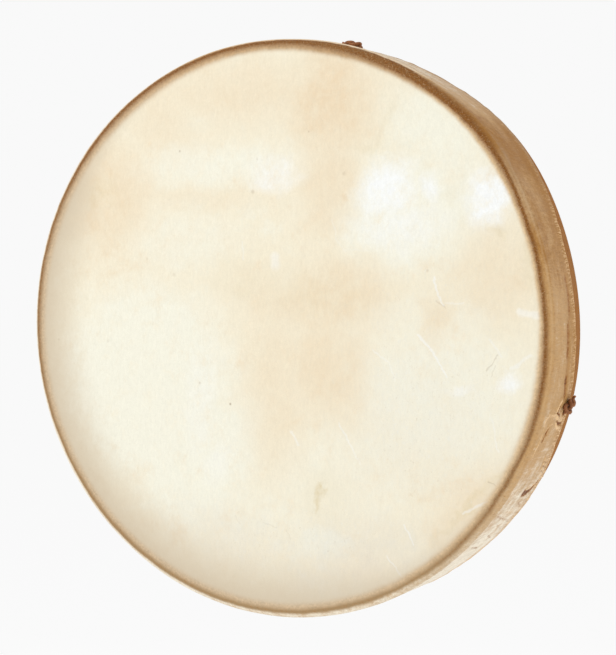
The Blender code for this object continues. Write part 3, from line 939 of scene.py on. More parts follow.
def leather_strand(
    geometry: GEOMETRY, width: FLOAT, thickness: FLOAT, corner: FLOAT, turns_per_metre: FLOAT,
    unevenness: FLOAT, step: FLOAT, tip_length: FLOAT, seed: FLOAT, material: MATERIAL,
):
    """A cut leather strand along a curve: a flattened section that twists and varies in width."""
    even = get("GeometryNodeResampleCurve", {"Curve": geometry, "Length": step}, mode="LENGTH")
    along = source(step.tree, "GeometryNodeSplineParameter", "Length")
    length = source(step.tree, "GeometryNodeSplineLength", "Length")
    sample = combined(X=along, Y=seed)
    tilt = along * turns_per_metre * (2 * math.pi) + noise_at(sample, 45.0, 1.0) * 5.0
    turned = get("GeometryNodeSetCurveTilt", {"Curve": even, "Tilt": tilt})
    uneven = (noise_at(sample, 260.0, 2.0) - 0.5) * unevenness
    tip = calc("DIVIDE", calc("MINIMUM", length - along, along), tip_length, clamp=True)
    scale = (uneven + 1.0) * calc("MULTIPLY_ADD", tip, 0.4, 0.6)
    swept = sweep(turned, rounded_box(width, thickness, corner, 3), Scale=scale, **{"Fill Caps": True})
    return finished(get("GeometryNodeSetShadeSmooth", {"Geometry": swept}), material)


def bent_hoop(
    geometry: GEOMETRY, outer_radius: FLOAT, wall: FLOAT, front: FLOAT, back: FLOAT, bearing_round: FLOAT,
    back_round: FLOAT, steps: INT, unevenness: FLOAT, hole_radius: FLOAT, material: MATERIAL,
):
    """The bent strip: its section swept round the drum's axis, a step at the scarf, and the thongs' holes.

    It is made from its sizes alone. The geometry that comes in is empty and stays out.
    """
    tree = wall.tree
    wall_middle = outer_radius - wall * 0.5
    path = get("GeometryNodeCurvePrimitiveCircle", {"Resolution": steps, "Radius": wall_middle})
    inputs = {2: source(tree, "GeometryNodeInputIndex"), 3: BEARING_CORNER}
    is_bearing = get("FunctionNodeCompare", inputs, data_type="INT", operation="EQUAL")
    sizes = {"Switch": is_bearing, "False": back_round, "True": bearing_round}
    size = get("GeometryNodeSwitch", sizes, input_type="FLOAT")
    swept = sweep(path, rounded_box(wall, back - front, size, 6))
    stood = placed(swept, combined(Y=(back + front) * 0.5), (math.pi / 2, 0.0, 0.0))

    # The inner wall is uneven from hand work, and the overlapping end of the scarf stands a little proud
    spot = source(tree, "GeometryNodeInputPosition")
    x, y, z = split(spot)
    across = combined(X=x, Z=z)
    inside = calc("LESS_THAN", vector("LENGTH", across), wall_middle)
    push = (noise_at(spot, 22.0, 1.0) - 0.5) * unevenness
    scarf = calc("MULTIPLY_ADD", y, SCARF_SLANT / MM, SCARF_ANGLE)
    past = calc("DEGREES", calc("ARCTAN2", z, x)) - scarf
    push = push - fade(past, -0.15, 0.25) * fade(past, 22.0, 2.0) * SCARF_STEP
    uneven = moved(stood, scaled(vector("NORMALIZE", across), push * inside))

    pin = get(
        "GeometryNodeMeshCylinder", {"Vertices": 24, "Radius": hole_radius, "Depth": wall * 3.0}, "Mesh"
    )
    pins = tree.nodes.new("GeometryNodeJoinGeometry")
    for end in HOLE_ANGLES:
        turn = (0.0, math.radians(90.0 - end), 0.0)
        fill(pins.inputs[0], placed(pin, scaled(on_rim(end, 1.0, 0.0), wall_middle), turn))
    inputs = {"Mesh 1": uneven, "Mesh 2": Value(pins.outputs[0])}
    drilled = get("GeometryNodeMeshBoolean", inputs, "Mesh", operation="DIFFERENCE", solver="EXACT")
    return finished(drilled, material)


def frayed_edge(
    geometry: GEOMETRY, spacing: FLOAT, length: FLOAT, thickness: FLOAT, slant: FLOAT, seed: INT,
    material: MATERIAL,
):
    """Torn fibres along the hide's cut edge, lying on the wood behind it."""
    inputs = {"Curve": geometry, "Length": spacing}
    points = add_node("GeometryNodeCurveToPoints", inputs, mode="LENGTH").outputs
    lean = get("FunctionNodeRandomValue", {2: -1.0, 3: 1.0, "Seed": seed}, 1, data_type="FLOAT")
    size = get("FunctionNodeRandomValue", {2: 0.25, 3: 1.0, "Seed": seed + 5.0}, 1, data_type="FLOAT")
    heading = vector("ADD", scaled(Value(points["Tangent"]), lean * slant), (0.0, 1.0, 0.0))
    outward = vector("MULTIPLY", source(slant.tree, "GeometryNodeInputPosition"), ACROSS)
    inputs = {"Primary Axis": heading, "Secondary Axis": outward}
    facing = get("FunctionNodeAxesToRotation", inputs, primary_axis="Y", secondary_axis="Z")

    # One fibre: it bends, sinks towards the wood and tapers
    ends = {"Start": combined(Y=length * -0.5), "End": combined(Y=length)}
    line = get("GeometryNodeCurvePrimitiveLine", ends)
    cut = get("GeometryNodeResampleCurve", {"Curve": line, "Count": 5})
    share = source(slant.tree, "GeometryNodeSplineParameter", "Factor")
    bend = combined(X=calc("SINE", share * 4.0) * 0.00035, Z=share * share * -0.0004)
    ring = get("GeometryNodeCurvePrimitiveCircle", {"Resolution": 4, "Radius": thickness})
    fibre = sweep(moved(cut, bend), ring, Scale=1.0 - share * 0.85, **{"Fill Caps": True})
    inputs = {"Points": Value(points["Points"]), "Instance": fibre, "Rotation": facing, "Scale": size}
    return finished(get("GeometryNodeInstanceOnPoints", inputs), material)


# Objects and meshes ----------------------------------------------------------------------------------


def new_object(name, data):
    made = bpy.data.objects.new(name, data)
    bpy.context.scene.collection.objects.link(made)
    return made


def remove_object(obj):
    """Deletes an object and its data."""
    data = obj.data
    bpy.data.objects.remove(obj, do_unlink=True)
    (bpy.data.curves if isinstance(data, bpy.types.Curve) else bpy.data.meshes).remove(data)


def evaluated_mesh(obj):
    graph = bpy.context.evaluated_depsgraph_get()
    graph.update()
    return bpy.data.meshes.new_from_object(obj.evaluated_get(graph))


def grow(obj, build, **values):
    """Runs a geometry tree on an object, and gives a plain mesh object of the result, at the origin."""
    tree = tree_of(build, "GeometryNodeTree")
    modifier = obj.modifiers.new("Make", "NODES")
    modifier.node_group = tree
    sockets = {item.name: item.identifier for item in tree.interface.items_tree if item.in_out == "INPUT"}
    for label, value in values.items():
        modifier[sockets[titled(label)]] = value
    obj.update_tag()
    mesh = evaluated_mesh(obj)
    obj.modifiers.remove(modifier)
    name = obj.name
    remove_object(obj)
    mesh.name = name
    return new_object(name, mesh)


def curve_object(name, points, closed=False):
    curve = bpy.data.curves.new(name, "CURVE")
    curve.dimensions = "3D"
    spline = curve.splines.new("POLY")
    spline.points.add(len(points) - 1)
    for spot, point in zip(spline.points, points):
        spot.co = (*point, 1.0)
    spline.use_cyclic_u = closed
    return new_object(name, curve)


def face_outwards(mesh):
    """Turns a closed mesh's faces outwards."""
    shape = bmesh.new()
    shape.from_mesh(mesh)
    bmesh.ops.recalc_face_normals(shape, faces=shape.faces)
    if shape.calc_volume(signed=True) < 0:
        bmesh.ops.reverse_faces(shape, faces=shape.faces)
    shape.to_mesh(mesh)
    shape.free()


def smooth(mesh, degrees):
    mesh.shade_smooth()
    mesh.set_sharp_from_angle(angle=math.radians(degrees))


def push_out_of_round(mesh):
    """Moves a piece by the hoop's bulges, and keeps the place before it as the attribute "home"."""
    spots = np.empty(len(mesh.vertices) * 3, np.float32)
    mesh.vertices.foreach_get("co", spots)
    mesh.attributes.new("home", "FLOAT_VECTOR", "POINT").data.foreach_set("vector", spots)
    x, y, z = spots.reshape(-1, 3).astype(float).T
    radius = np.hypot(x, z)
    angle = np.degrees(np.arctan2(z, x))
    share = np.clip((y - FACE_PLANE) / (HOOP_BACK - FACE_PLANE), 0.0, 1.0)
    push = np.zeros(len(x))
    for centre, width, front, back in BULGES:
        away = turned_from(angle, centre) / width
        push += (front + (back - front) * share) * np.exp(-0.5 * away * away)
    size = 1.0 + push * MM * radius / DRUM_RADIUS ** 2
    mesh.vertices.foreach_set("co", np.stack([x * size, y, z * size], axis=1).astype(np.float32).ravel())
    mesh.update()


def settle(piece, slot, *nodes):
    """Puts a finished piece on the drum's body and hides the CAD nodes that it stands for."""
    if not piece.data.polygons:
        raise RuntimeError(f"{piece.name} came out empty")
    push_out_of_round(piece.data)
    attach(piece, BODY)
    if nodes:
        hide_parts(*nodes)


# The hide --------------------------------------------------------------------------------------------


def rim_columns():
    """Angles of the hide's columns round the rim."""
    fine = np.arange(FINE_FROM, FINE_TO, FINE_STEP)
    rest = 360.0 - (FINE_TO - FINE_FROM)
    coarse = np.linspace(FINE_TO, FINE_TO + rest, round(rest / COARSE_STEP), endpoint=False)
    return np.concatenate([fine, coarse])


def stroke_distance(u, v, points):
    """Distance in mm from (u, v) on the unrolled side to a line through points (angle, depth)."""
    spots = [(-math.radians(angle) * DRUM_RADIUS / MM, depth) for angle, depth in points]
    best = np.full(u.shape, np.inf)
    for (u0, v0), (u1, v1) in zip(spots, spots[1:]):
        du, dv = u1 - u0, v1 - v0
        share = np.clip(((u - u0) * du + (v - v0) * dv) / (du * du + dv * dv), 0.0, 1.0)
        best = np.minimum(best, np.hypot(u - u0 - share * du, v - v0 - share * dv))
    return best


def crease_field(angles, depths):
    """Height in mm and tone of the creases over a grid of columns and depths (mm)."""
    turn = (angles + 90.0) % 360.0 - 90.0
    u = np.broadcast_to(-np.radians(turn) * DRUM_RADIUS / MM, depths.shape)
    height, tone = np.zeros(depths.shape), np.zeros(depths.shape)
    for points, half_width, size, mark in CREASES:
        away = stroke_distance(u, depths, points) / (half_width * CREASE_WIDTH)
        swell = np.exp(-away * away)
        height += size * CREASE_HEIGHT * swell
        tone += mark * CREASE_TONE * swell
    return height, np.clip(tone, -1.0, 1.0)


def ripple(angles, depths, relief):
    """Small unevenness of the side in mm: bulges between the wood and the hide, more of them near the hem."""
    out = np.zeros(depths.shape)
    for j, angle in enumerate(angles):
        turn = math.radians(angle)
        x, z = math.cos(turn), math.sin(turn)
        for i, depth in enumerate(depths[:, j]):
            low = noise.noise(Vector((x * 9.0, z * 9.0, depth * 0.03)))
            high = noise.noise(Vector((x * 42.0, z * 42.0, depth * 0.05 + 5.0)))
            out[i, j] = 0.22 * low + 0.10 * high * min(1.0, depth / 40.0)
    return out * relief


def face_sag(radius, angle):
    """Slow unevenness of the face in mm."""
    turn = math.radians(angle)
    x, z = radius * math.cos(turn), radius * math.sin(turn)
    return 0.28 * noise.noise(Vector((x * 14.0, z * 14.0, 2.0)))


def hide_rows(angles, hide):
    """Rows of (radius, depth, tone, mm to the hem) from the middle of the face out and back in."""
    ones = np.ones(len(angles))
    plain = (0.0 * ones, 99.0 * ones)

    def face_row(radius, behind):
        calm = min(1.0, (ROUND_CENTRE - radius) / 0.03)
        sag = np.array([face_sag(radius, angle) for angle in angles]) * MM * calm * hide.relief
        return radius * ones, sag + behind, *plain

    rows = [face_row(ROUND_CENTRE * (i / (FACE_ROWS + 1)) ** 0.85, 0.0) for i in range(1, FACE_ROWS + 1)]
    hem = np.array([ragged_hem(angle, hide.ragged) for angle in angles])

    # The round and the side, and which way the creases push each row
    turns = [math.pi / 2 * i / ROUND_ROWS for i in range(ROUND_ROWS + 1)]
    radius = [(ROUND_CENTRE + HIDE_ROUND * math.sin(turn)) * ones for turn in turns]
    depth = [HIDE_ROUND * (1 - math.cos(turn)) * ones for turn in turns]
    radius = np.array(radius + [DRUM_RADIUS * ones] * SIDE_ROWS)
    side = [HIDE_ROUND + (hem - HIDE_ROUND) * i / SIDE_ROWS for i in range(1, SIDE_ROWS + 1)]
    depth = np.array(depth + side)
    push = np.array([(math.sin(turn), math.cos(turn)) for turn in turns] + [(1.0, 0.0)] * SIDE_ROWS)
    to_hem = hem[None, :] - depth

    # Creases, ripples, the loose hem and the hide pulled in round the thongs' holes
    height, tone = crease_field(angles, depth / MM)
    height = height + ripple(angles, depth / MM, hide.relief)
    lift = np.array([0.35 + 0.45 * rim_noise(angle, 26.0, 9.0) for angle in angles])
    loose = np.exp(-to_hem / LOOSE_REACH) * lift
    height = height + np.clip(loose, 0.0, 1.0) * hide.relief
    for end in HOLE_ANGLES:
        beside = np.radians(turned_from(angles, end))[None, :] * DRUM_RADIUS
        away = np.hypot(beside, depth + FACE_PLANE) / MM
        height += 0.7 * np.exp(-(((away - 3.0) / 1.6) ** 2))
        tone -= 0.7 * np.exp(-(((away - 2.3) / 1.0) ** 2))
        tone += 0.6 * np.exp(-(((away - 4.6) / 1.6) ** 2))
    ease = np.clip(np.arange(len(radius)) / ROUND_ROWS, 0.0, 1.0)[:, None]
    height = np.clip(height, -0.8, 2.2) * ease
    radius = radius + height * MM * push[:, :1]
    depth = depth - height * MM * push[:, 1:]
    rows += zip(radius, depth, tone, to_hem / MM)

    # The cut edge, then the lining back to the middle
    rows.append((radius[-1] - 0.3 * MM, depth[-1] + 0.15 * MM, tone[-1], 0.0 * ones))
    for i in range(LINING_SIDE_ROWS, 0, -1):
        inner_depth = HIDE_ROUND + (hem - 0.0001 - HIDE_ROUND) * i / LINING_SIDE_ROWS
        rows.append(((DRUM_RADIUS - HIDE_THICKNESS) * ones, inner_depth, *plain))
    inner_round = HIDE_ROUND - HIDE_THICKNESS
    for i in range(LINING_ROUND_ROWS, -1, -1):
        turn = math.pi / 2 * i / LINING_ROUND_ROWS
        inner_radius = ROUND_CENTRE + inner_round * math.sin(turn)
        rows.append((inner_radius * ones, (HIDE_ROUND - inner_round * math.cos(turn)) * ones, *plain))
    for i in range(LINING_FACE_ROWS, 0, -1):
        rows.append(face_row(ROUND_CENTRE * i / (LINING_FACE_ROWS + 1), HIDE_THICKNESS))
    return rows


def rows_to_mesh(name, angles, rows, lining_from):
    """A closed mesh from rings of points and a point at each end, with a second material past a row."""
    turn = np.radians(angles)
    count = len(angles)
    rings = [np.stack([r * np.cos(turn), FACE_PLANE + d, r * np.sin(turn)], axis=1) for r, d, _, _ in rows]
    ends = [[[0.0, FACE_PLANE, 0.0]], [[0.0, FACE_PLANE + HIDE_THICKNESS, 0.0]]]
    vertices = np.concatenate([ends[0], *rings, ends[1]])
    last = len(vertices) - 1
    pairs = [(j, (j + 1) % count) for j in range(count)]
    faces = [(0, 1 + k, 1 + j) for j, k in pairs]
    for a in range(1, last - count, count):
        faces += [(a + j, a + k, a + count + k, a + count + j) for j, k in pairs]
    faces += [(last - count + j, last - count + k, last) for j, k in pairs]
    slots = [0] * (count * (lining_from + 1)) + [1] * (count * (len(rows) - lining_from))
    mesh = bpy.data.meshes.new(name)
    mesh.from_pydata(vertices.tolist(), [], faces)
    mesh.polygons.foreach_set("material_index", slots)
    for label, column in (("tone", 2), ("hem", 3)):
        values = np.concatenate([rows[0][column][:1], *[row[column] for row in rows], rows[-1][column][:1]])
        mesh.attributes.new(label, "FLOAT", "POINT").data.foreach_set("value", values.astype(np.float32))
    mesh.update()
    return mesh


def hole_cutter(end, rng):
    """A pin with a slightly torn outline, for one hole through the hide."""
    outward, along = on_rim(end, 1.0, 0.0), on_rim(end + 90.0, 1.0, 0.0)
    outline = []
    for i in range(CUTTER_SIDES):
        size = HOLE_RADIUS * rng.uniform(0.88, 1.08)
        turn = 2 * math.pi * i / CUTTER_SIDES
        outline.append((along * (size * math.cos(turn)), Vector((0.0, size * math.sin(turn), 0.0))))
    shape = bmesh.new()
    inner, outer = (
        [shape.verts.new(outward * radius + across + up) for across, up in outline]
        for radius in (INNER_RADIUS, DRUM_RADIUS + 0.006)
    )
    for i in range(CUTTER_SIDES):
        k = (i + 1) % CUTTER_SIDES
        shape.faces.new((inner[i], inner[k], outer[k], outer[i]))
    shape.faces.new(list(reversed(inner)))
    shape.faces.new(outer)
    mesh = bpy.data.meshes.new("hole_cutter")
    bmesh.ops.recalc_face_normals(shape, faces=shape.faces)
    shape.to_mesh(mesh)
    shape.free()
    return mesh


def punch(obj, cutters):
    """Cuts holes through a closed mesh."""
    helpers = []
    for mesh in cutters:
        modifier = obj.modifiers.new("Hole", "BOOLEAN")
        modifier.operation = "DIFFERENCE"
        modifier.solver = "EXACT"
        modifier.object = new_object("hole_cutter", mesh)
        helpers.append(modifier.object)
    mesh = evaluated_mesh(obj)
    obj.modifiers.clear()
    # A cut that passes very close to a vertex leaves a folded sliver, which merging takes away
    shape = bmesh.new()
    shape.from_mesh(mesh)
    bmesh.ops.remove_doubles(shape, verts=shape.verts, dist=MERGE_DISTANCE)
    shape.to_mesh(mesh)
    shape.free()
    old, obj.data = obj.data, mesh
    bpy.data.meshes.remove(old)
    for helper in helpers:
        remove_object(helper)


# Settings --------------------------------------------------------------------------------------------


def colour_property(name, description, value):
    return bpy.props.FloatVectorProperty(
        name=name, description=description, subtype="COLOR", size=3, min=0.0, max=1.0, default=value
    )


def number_property(name, description, value, **more):
    return bpy.props.FloatProperty(name=name, description=description, default=value, **more)


def length_property(name, description, value, **more):
    return number_property(name, description, value, unit="LENGTH", **more)


class DRUM_PG_hide(bpy.types.PropertyGroup):
    """Colours and relief of the rawhide head."""

    face_cream: colour_property("Face cream", "Usual colour of the head's face", (0.735, 0.675, 0.53))
    face_warm: colour_property("Face warm", "Peach stains on the face", (0.69, 0.565, 0.395))
    # Whitish patches and scratches on the face
    face_pale: colour_property("Face pale", "Whitish patches and scratches on the face", (0.77, 0.78, 0.765))
    face_green: colour_property(
        "Face green", "Greenish cream where the hide is thicker", (0.742, 0.722, 0.61)
    )
    face_olive: colour_property("Face olive", "Dull tan stains on the face", (0.60, 0.50, 0.31))
    face_grey: colour_property("Face grey", "Greyer patches low on the face", (0.585, 0.55, 0.49))
    # Painted shade along the left and lower rim of the face
    painted_rim_shade: colour_property("Face shade", "Painted shade near the left and lower rim", (0.535, 0.45, 0.33))
    # The band's colours: partly the hide's own darker colour over the wood, partly painted shade where the
    # wood behind blocks the light through the hide
    band_edge: colour_property("Band edge", "Inner shoulder of the band over the wood", (0.56, 0.40, 0.23))
    band_brown: colour_property(
        "Band brown", "Inner edge of the band where it is brown", (0.35, 0.205, 0.095)
    )
    band_pale: colour_property("Band pale", "Core of the band, where it is palest", (0.345, 0.23, 0.115))
    band_dark: colour_property("Band dark", "Core of the band, where it is darkest", (0.20, 0.078, 0.014))
    # Painted highlight along the band's outer edge, and the pale flecks on the band
    wear: colour_property("Highlight line", "Thin worn line just past the band", (0.75, 0.56, 0.36))
    side_pale: colour_property("Side pale", "Hide down the side, where it is palest", (0.77, 0.69, 0.55))
    side_tan: colour_property("Side tan", "Hide down the side", (0.49, 0.29, 0.12))
    side_brown: colour_property("Side brown", "Hide down the side, where it is darkest", (0.33, 0.145, 0.022))
    fleck: colour_property("Fleck", "Small reddish flecks on the dark band", (0.115, 0.030, 0.006))
    side_grey: colour_property("Side grey", "Greyer streaks down the side", (0.56, 0.50, 0.38))
    # Crease and slit: partly the hide's darker folds, partly painted shade in the grooves
    crease: colour_property("Crease", "Dark line of a crease", (0.29, 0.115, 0.022))
    slit: colour_property("Slit", "Deepest line of a crease", (0.14, 0.042, 0.006))
    hem_pale: colour_property("Hem pale", "Scraped fibres at the cut edge", (0.74, 0.50, 0.27))
    speck: colour_property("Speck", "Dark specks on the face", (0.20, 0.12, 0.06))
    lining: colour_property("Lining", "Inside of the hide", (0.62, 0.47, 0.28))
    lining_dark: colour_property("Lining dark", "Darker patches inside", (0.42, 0.28, 0.13))
    relief: number_property(
        "Relief", "Strength of the hide's unevenness", 1.0, min=0.0, max=3.0, subtype="FACTOR"
    )
    ragged: length_property("Ragged", "Size of the steps along the cut edge", 0.0009, min=0.0)
    fray_spacing: length_property("Fray spacing", "Distance between torn fibres", 0.0022, min=0.0005)
    fray_length: length_property("Fray length", "Longest torn fibre", 0.0034, min=0.0)


class DRUM_PG_hoop(bpy.types.PropertyGroup):
    """Sizes and colours of the bent wooden hoop."""

    radius: length_property("Radius", "Outer radius", HOOP_RADIUS)
    wall: length_property("Wall", "Thickness of the strip", HOOP_WALL)
    steps: bpy.props.IntProperty(name="Steps", description="Facets round the hoop", default=240, min=24)
    unevenness: length_property("Unevenness", "Hand-made unevenness of the inner wall", 0.0006)
    wood_pale: colour_property("Wood pale", "Between the grain lines", (0.56, 0.32, 0.14))
    wood_dark: colour_property("Wood dark", "Grain lines", (0.36, 0.17, 0.06))
    # Darker colour of the hoop's outer face
    wood_outside: colour_property("Wood outside", "Outer face, darker", (0.315, 0.125, 0.024))
    wood_pore: colour_property("Pores", "Pores and the glue line", (0.18, 0.08, 0.03))


class DRUM_PG_cords(bpy.types.PropertyGroup):
    """Sizes and colours of the thongs and the grip's lace."""

    thong_width: length_property("Thong width", "Width of a thong's section", 0.0029)
    thong_thickness: length_property("Thong thickness", "Thickness of a thong's section", 0.0026)
    lace_width: length_property("Lace width", "Width of the lace's section", 0.0022)
    lace_thickness: length_property("Lace thickness", "Thickness of the lace's section", 0.0019)
    twist: number_property("Twist", "Turns of the section in a metre", 18.0, min=0.0)
    leather_dark: colour_property("Leather dark", "Darker leather", (0.21, 0.078, 0.030))
    leather_light: colour_property("Leather light", "Redder leather", (0.40, 0.17, 0.072))


class DRUM_PG_stage(bpy.types.PropertyGroup):
    """Floor, light and camera."""

    backdrop: number_property("Backdrop", "Brightness of the white surroundings", 0.947, min=0.0)
    floor_drop: length_property("Floor drop", "Distance from the drum down to the floor", 1.3)
    key_power: number_property("Key light", "Power of the soft light at the front left", 24.0, unit="POWER")
    fill_power: number_property(
        "Fill light", "Power of the soft light at the lower right", 14.0, unit="POWER"
    )


SETTINGS = {
    "drum_hide": DRUM_PG_hide,
    "drum_hoop": DRUM_PG_hoop,
    "drum_cords": DRUM_PG_cords,
    "drum_stage": DRUM_PG_stage,
}


# Cords -----------------------------------------------------------------------------------------------


def through(points, steps):
    """A smooth line through the points, with a number of steps between each two."""
    line = []
    last = len(points) - 1
    for i in range(last):
        before, here, there, after = points[max(i - 1, 0)], points[i], points[i + 1], points[min(i + 2, last)]
        for j in range(steps):
            t = j / steps
            square = (2 * before - 5 * here + 4 * there - after) * t ** 2
            cube = (3 * here - before - 3 * there + after) * t ** 3
            line.append(0.5 * (2 * here + (there - before) * t + square + cube))
    line.append(points[last])
    return line


def knot_line(angle, wide, high):
    """The line of one stopper knot, from inside the hoop out to the thong's tail."""
    spots = []
    for along, back, above in KNOT_ROUTE:
        turn = math.degrees(along * wide * MM / DRUM_RADIUS)
        lifted = above * high + THONG_DIAMETER / MM / 2 * (1 - high) if above > 0.0 else above
        spots.append(on_rim(angle + turn, DRUM_RADIUS + lifted * MM, back * MM))
    return [on_rim(angle, INNER_RADIUS - THONG_DIAMETER, 0.0)] + through(spots, KNOT_STEPS)


def thong_line(name, lift):
    """The whole thong, from one tail across the back to the other."""
    first, second = (knot_line(THONG_ANGLES[name] + turn, *KNOT_PULL[name]) for turn in (0.0, 180.0))
    return list(reversed(first)) + [Vector((0.0, lift, 0.0))] + second


def arm_lift(radius):
    """How far a thong lies from the middle plane of the cross, at a radius from the crossing."""
    return THONG_LIFT * (1 - radius / (INNER_RADIUS - THONG_DIAMETER))


def woven_half(start, side):
    """One half of the lace: over one thong and under the other (side 1), or the other way (side -1)."""
    first, second = THONG_ANGLES.values()
    middle = (first + second - 90.0) / 2
    points = []
    for i in range(round(LACE_TURNS * LACE_STEPS) + 1):
        turn = i / LACE_STEPS
        angle = first + 360.0 * turn
        radius = start + 2 * LACE_PITCH * turn
        swing = arm_lift(radius) + side * WRAP_RADIUS
        points.append(on_rim(angle, radius, swing * math.cos(2 * math.radians(angle - middle))))
    points.append(points[-1] + (points[-1] - points[-2]).normalized() * LACE_TAIL)
    return points


def lace_fold():
    """Where the lace turns back round the near side of the first arm."""
    angle = THONG_ANGLES["thong_upright"]
    points = []
    for i in range(1, FOLD_STEPS):
        turn = math.pi * i / FOLD_STEPS
        out = on_rim(angle, LACE_START + LACE_PITCH * i / FOLD_STEPS, THONG_LIFT)
        points.append(out + on_rim(angle - 90.0, WRAP_RADIUS * math.sin(turn), WRAP_RADIUS * math.cos(turn)))
    return points


def lace_line():
    """The whole lace, from one tail in to the fold and out to the other tail."""
    over = woven_half(LACE_START, 1)
    return list(reversed(over)) + lace_fold() + woven_half(LACE_START + LACE_PITCH, -1)


def make_strand(name, points, width, thickness, twist, seed, material):
    made = grow(
        curve_object(name, points), leather_strand, width=width, thickness=thickness,
        corner=min(width, thickness) * 0.36, turns_per_metre=twist, unevenness=0.16, step=0.0005,
        tip_length=0.005, seed=seed, material=material,
    )
    face_outwards(made.data)
    smooth(made.data, 50)
    return made


# Operators -------------------------------------------------------------------------------------------


class DRUM_OT_hoop(bpy.types.Operator):
    """Bends the wooden hoop and drills it for the thongs"""

    bl_idname = "drum.hoop"
    bl_label = "Bend the Hoop"

    def execute(self, context):
        hoop = context.scene.drum_hoop
        made = grow(
            new_object("bent_hoop", bpy.data.meshes.new("bent_hoop")), bent_hoop, outer_radius=hoop.radius,
            wall=hoop.wall, front=HOOP_FRONT, back=HOOP_BACK, bearing_round=BEARING_ROUND,
            back_round=BACK_ROUND, steps=hoop.steps, unevenness=hoop.unevenness, hole_radius=HOLE_RADIUS,
            material=wood_material(hoop),
        )
        face_outwards(made.data)
        smooth(made.data, 35)
        settle(made, "bent_wood", "hoop")
        return {"FINISHED"}


class DRUM_OT_head(bpy.types.Operator):
    """Stretches the rawhide over the hoop and creases its side"""

    bl_idname = "drum.head"
    bl_label = "Stretch the Head"

    def execute(self, context):
        hide = context.scene.drum_hide
        angles = rim_columns()
        mesh = rows_to_mesh(
            "rawhide_skin", angles, hide_rows(angles, hide), FACE_ROWS + ROUND_ROWS + SIDE_ROWS + 1
        )
        mesh.materials.append(hide_material(hide))
        mesh.materials.append(lining_material(hide))
        face_outwards(mesh)
        head = new_object("rawhide_skin", mesh)
        rng = random.Random(CUTTER_SEED)
        punch(head, [hole_cutter(end, rng) for end in HOLE_ANGLES])
        smooth(head.data, 60)
        settle(head, "rawhide", "rawhide_head")
        return {"FINISHED"}


class DRUM_OT_fray(bpy.types.Operator):
    """Adds the torn fibres along the hide's cut edge"""

    bl_idname = "drum.fray"
    bl_label = "Fray the Hem"

    def execute(self, context):
        hide = context.scene.drum_hide
        points = [
            on_rim(angle, DRUM_RADIUS - 0.0004, FACE_PLANE + ragged_hem(angle, hide.ragged))
            for angle in rim_columns()
        ]
        made = grow(
            curve_object("hem_fibres", points, closed=True), frayed_edge, spacing=hide.fray_spacing,
            length=hide.fray_length, thickness=FIBRE_THICKNESS, slant=FIBRE_SLANT, seed=4,
            material=fibre_material(hide),
        )
        settle(made, "rawhide")
        return {"FINISHED"}


class DRUM_OT_thongs(bpy.types.Operator):
    """Pulls the two thongs across the back and knots them outside the hoop"""

    bl_idname = "drum.thongs"
    bl_label = "Knot the Thongs"

    def execute(self, context):
        cords = context.scene.drum_cords
        width, thickness = cords.thong_width, cords.thong_thickness
        material = leather_material("thong_leather", cords, 1.4)
        for name, lift, seed in (("thong_upright", THONG_LIFT, 3.0), ("thong_level", -THONG_LIFT, 4.0)):
            line = thong_line(name, lift)
            made = make_strand(f"{name}_cord", line, width, thickness, cords.twist, seed, material)
            settle(made, "thong_leather", name)
        return {"FINISHED"}


class DRUM_OT_grip(bpy.types.Operator):
    """Weaves the hand grip round the crossing"""

    bl_idname = "drum.grip"
    bl_label = "Weave the Grip"

    def execute(self, context):
        cords = context.scene.drum_cords
        width, thickness = cords.lace_width, cords.lace_thickness
        material = leather_material("lace_leather", cords, 1.9)
        made = make_strand("grip_weave", lace_line(), width, thickness, cords.twist, 8.0, material)
        settle(made, "lace_leather", "grip_lace")
        return {"FINISHED"}


class DRUM_OT_stage(bpy.types.Operator):
    """Sets the floor, the light and the camera"""

    bl_idname = "drum.stage"
    bl_label = "Set the Stage"

    def execute(self, context):
        scene = context.scene
        stage = scene.drum_stage
        make_world(scene, stage)
        make_floor(stage)
        add_light("key_light", KEY_PLACE, stage.key_power)
        add_light("fill_light", FILL_PLACE, stage.fill_power)
        make_camera(scene)
        scene.view_settings.view_transform = "Standard"
        scene.view_settings.look = "None"
        return {"FINISHED"}


# The stage -------------------------------------------------------------------------------------------

CAMERA_PLACE = (0.6372, -1.2708, 0.0552)
CAMERA_FORWARD = (-0.4436, 0.8954, -0.0394)
PHOTO_HEIGHT = 655
FOCAL_PIXELS = 1600.0
SENSOR = 36.0
FLOOR_HALF = 60.0
LIGHT_SIZE = 1.4
KEY_PLACE = (-1.3, -2.2, 1.0)
FILL_PLACE = (1.9, -0.7, -1.5)
WHITE = (1.0, 1.0, 1.0, 1.0)


def make_world(scene, stage):
    world = bpy.data.worlds.new("white_surroundings")
    world.use_nodes = True
    back = world.node_tree.nodes["Background"].inputs
    back["Color"].default_value = WHITE
    back["Strength"].default_value = stage.backdrop
    scene.world = world


def make_floor(stage):
    low = CAD_BOX[0][2] - stage.floor_drop
    half = FLOOR_HALF
    spots = [(x * half, y * half, low) for x, y in ((-1, -1), (1, -1), (1, 1), (-1, 1))]
    mesh = bpy.data.meshes.new("floor")
    mesh.from_pydata(spots, [], [(0, 1, 2, 3)])
    values = {"Base Color": (0.8, 0.8, 0.8, 1.0), "Roughness": 1.0, "Specular IOR Level": 0.0}
    glow = {"Emission Color": WHITE, "Emission Strength": stage.backdrop * 0.2}
    mesh.materials.append(bare_material("pale_floor", {**values, **glow}))
    floor = new_object("floor", mesh)


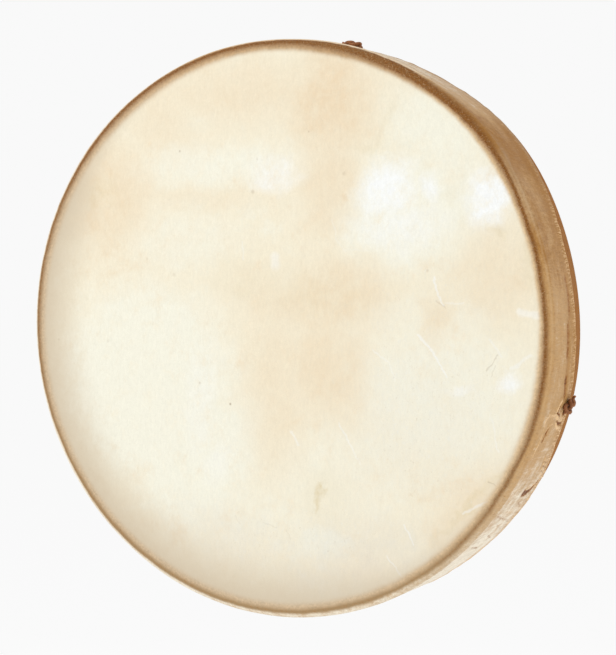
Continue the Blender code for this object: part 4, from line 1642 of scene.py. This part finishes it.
def aim(obj, place, direction):
    """Puts a light or a camera in its place and turns it to look along a direction."""
    obj.location = place
    obj.rotation_mode = "QUATERNION"
    obj.rotation_quaternion = direction.to_track_quat("-Z", "Y")


def add_light(name, place, power):
    """A soft square light aimed at the drum."""
    light = bpy.data.lights.new(name, "AREA")
    light.shape = "SQUARE"
    light.size = LIGHT_SIZE
    light.energy = power
    aim(new_object(name, light), place, -Vector(place))


def make_camera(scene):
    data = bpy.data.cameras.new("photo_camera")
    data.sensor_fit = "AUTO"
    data.sensor_width = SENSOR
    data.lens = FOCAL_PIXELS / PHOTO_HEIGHT * SENSOR
    data.clip_start, data.clip_end = 0.05, 200.0
    camera = new_object("photo_camera", data)
    aim(camera, CAMERA_PLACE, Vector(CAMERA_FORWARD))
    scene.camera = camera


class DRUM_PT_panel(bpy.types.Panel):
    """Lists the drum's settings and its making"""

    bl_idname = "DRUM_PT_panel"
    bl_label = "Frame Drum"
    bl_space_type = "VIEW_3D"
    bl_region_type = "UI"
    bl_category = "Drum"

    def draw(self, context):
        layout = self.layout
        for name, group in SETTINGS.items():
            box = layout.box()
            box.label(text=group.__doc__)
            for key in group.__annotations__:
                box.prop(getattr(context.scene, name), key)
        for operator in OPERATORS:
            layout.operator(operator.bl_idname)


OPERATORS = (DRUM_OT_hoop, DRUM_OT_head, DRUM_OT_fray, DRUM_OT_thongs, DRUM_OT_grip, DRUM_OT_stage)
CLASSES = (*SETTINGS.values(), *OPERATORS, DRUM_PT_panel)


def register():
    for one in CLASSES:
        bpy.utils.register_class(one)
    for name, group in SETTINGS.items():
        setattr(bpy.types.Scene, name, bpy.props.PointerProperty(type=group))


def unregister():
    for name in SETTINGS:
        delattr(bpy.types.Scene, name)
    for one in reversed(CLASSES):
        bpy.utils.unregister_class(one)


def main():
    register()
    bpy.ops.drum.hoop()
    bpy.ops.drum.head()
    bpy.ops.drum.fray()
    bpy.ops.drum.thongs()
    bpy.ops.drum.grip()
    bpy.ops.drum.stage()


if __name__ == "__main__":
    main()
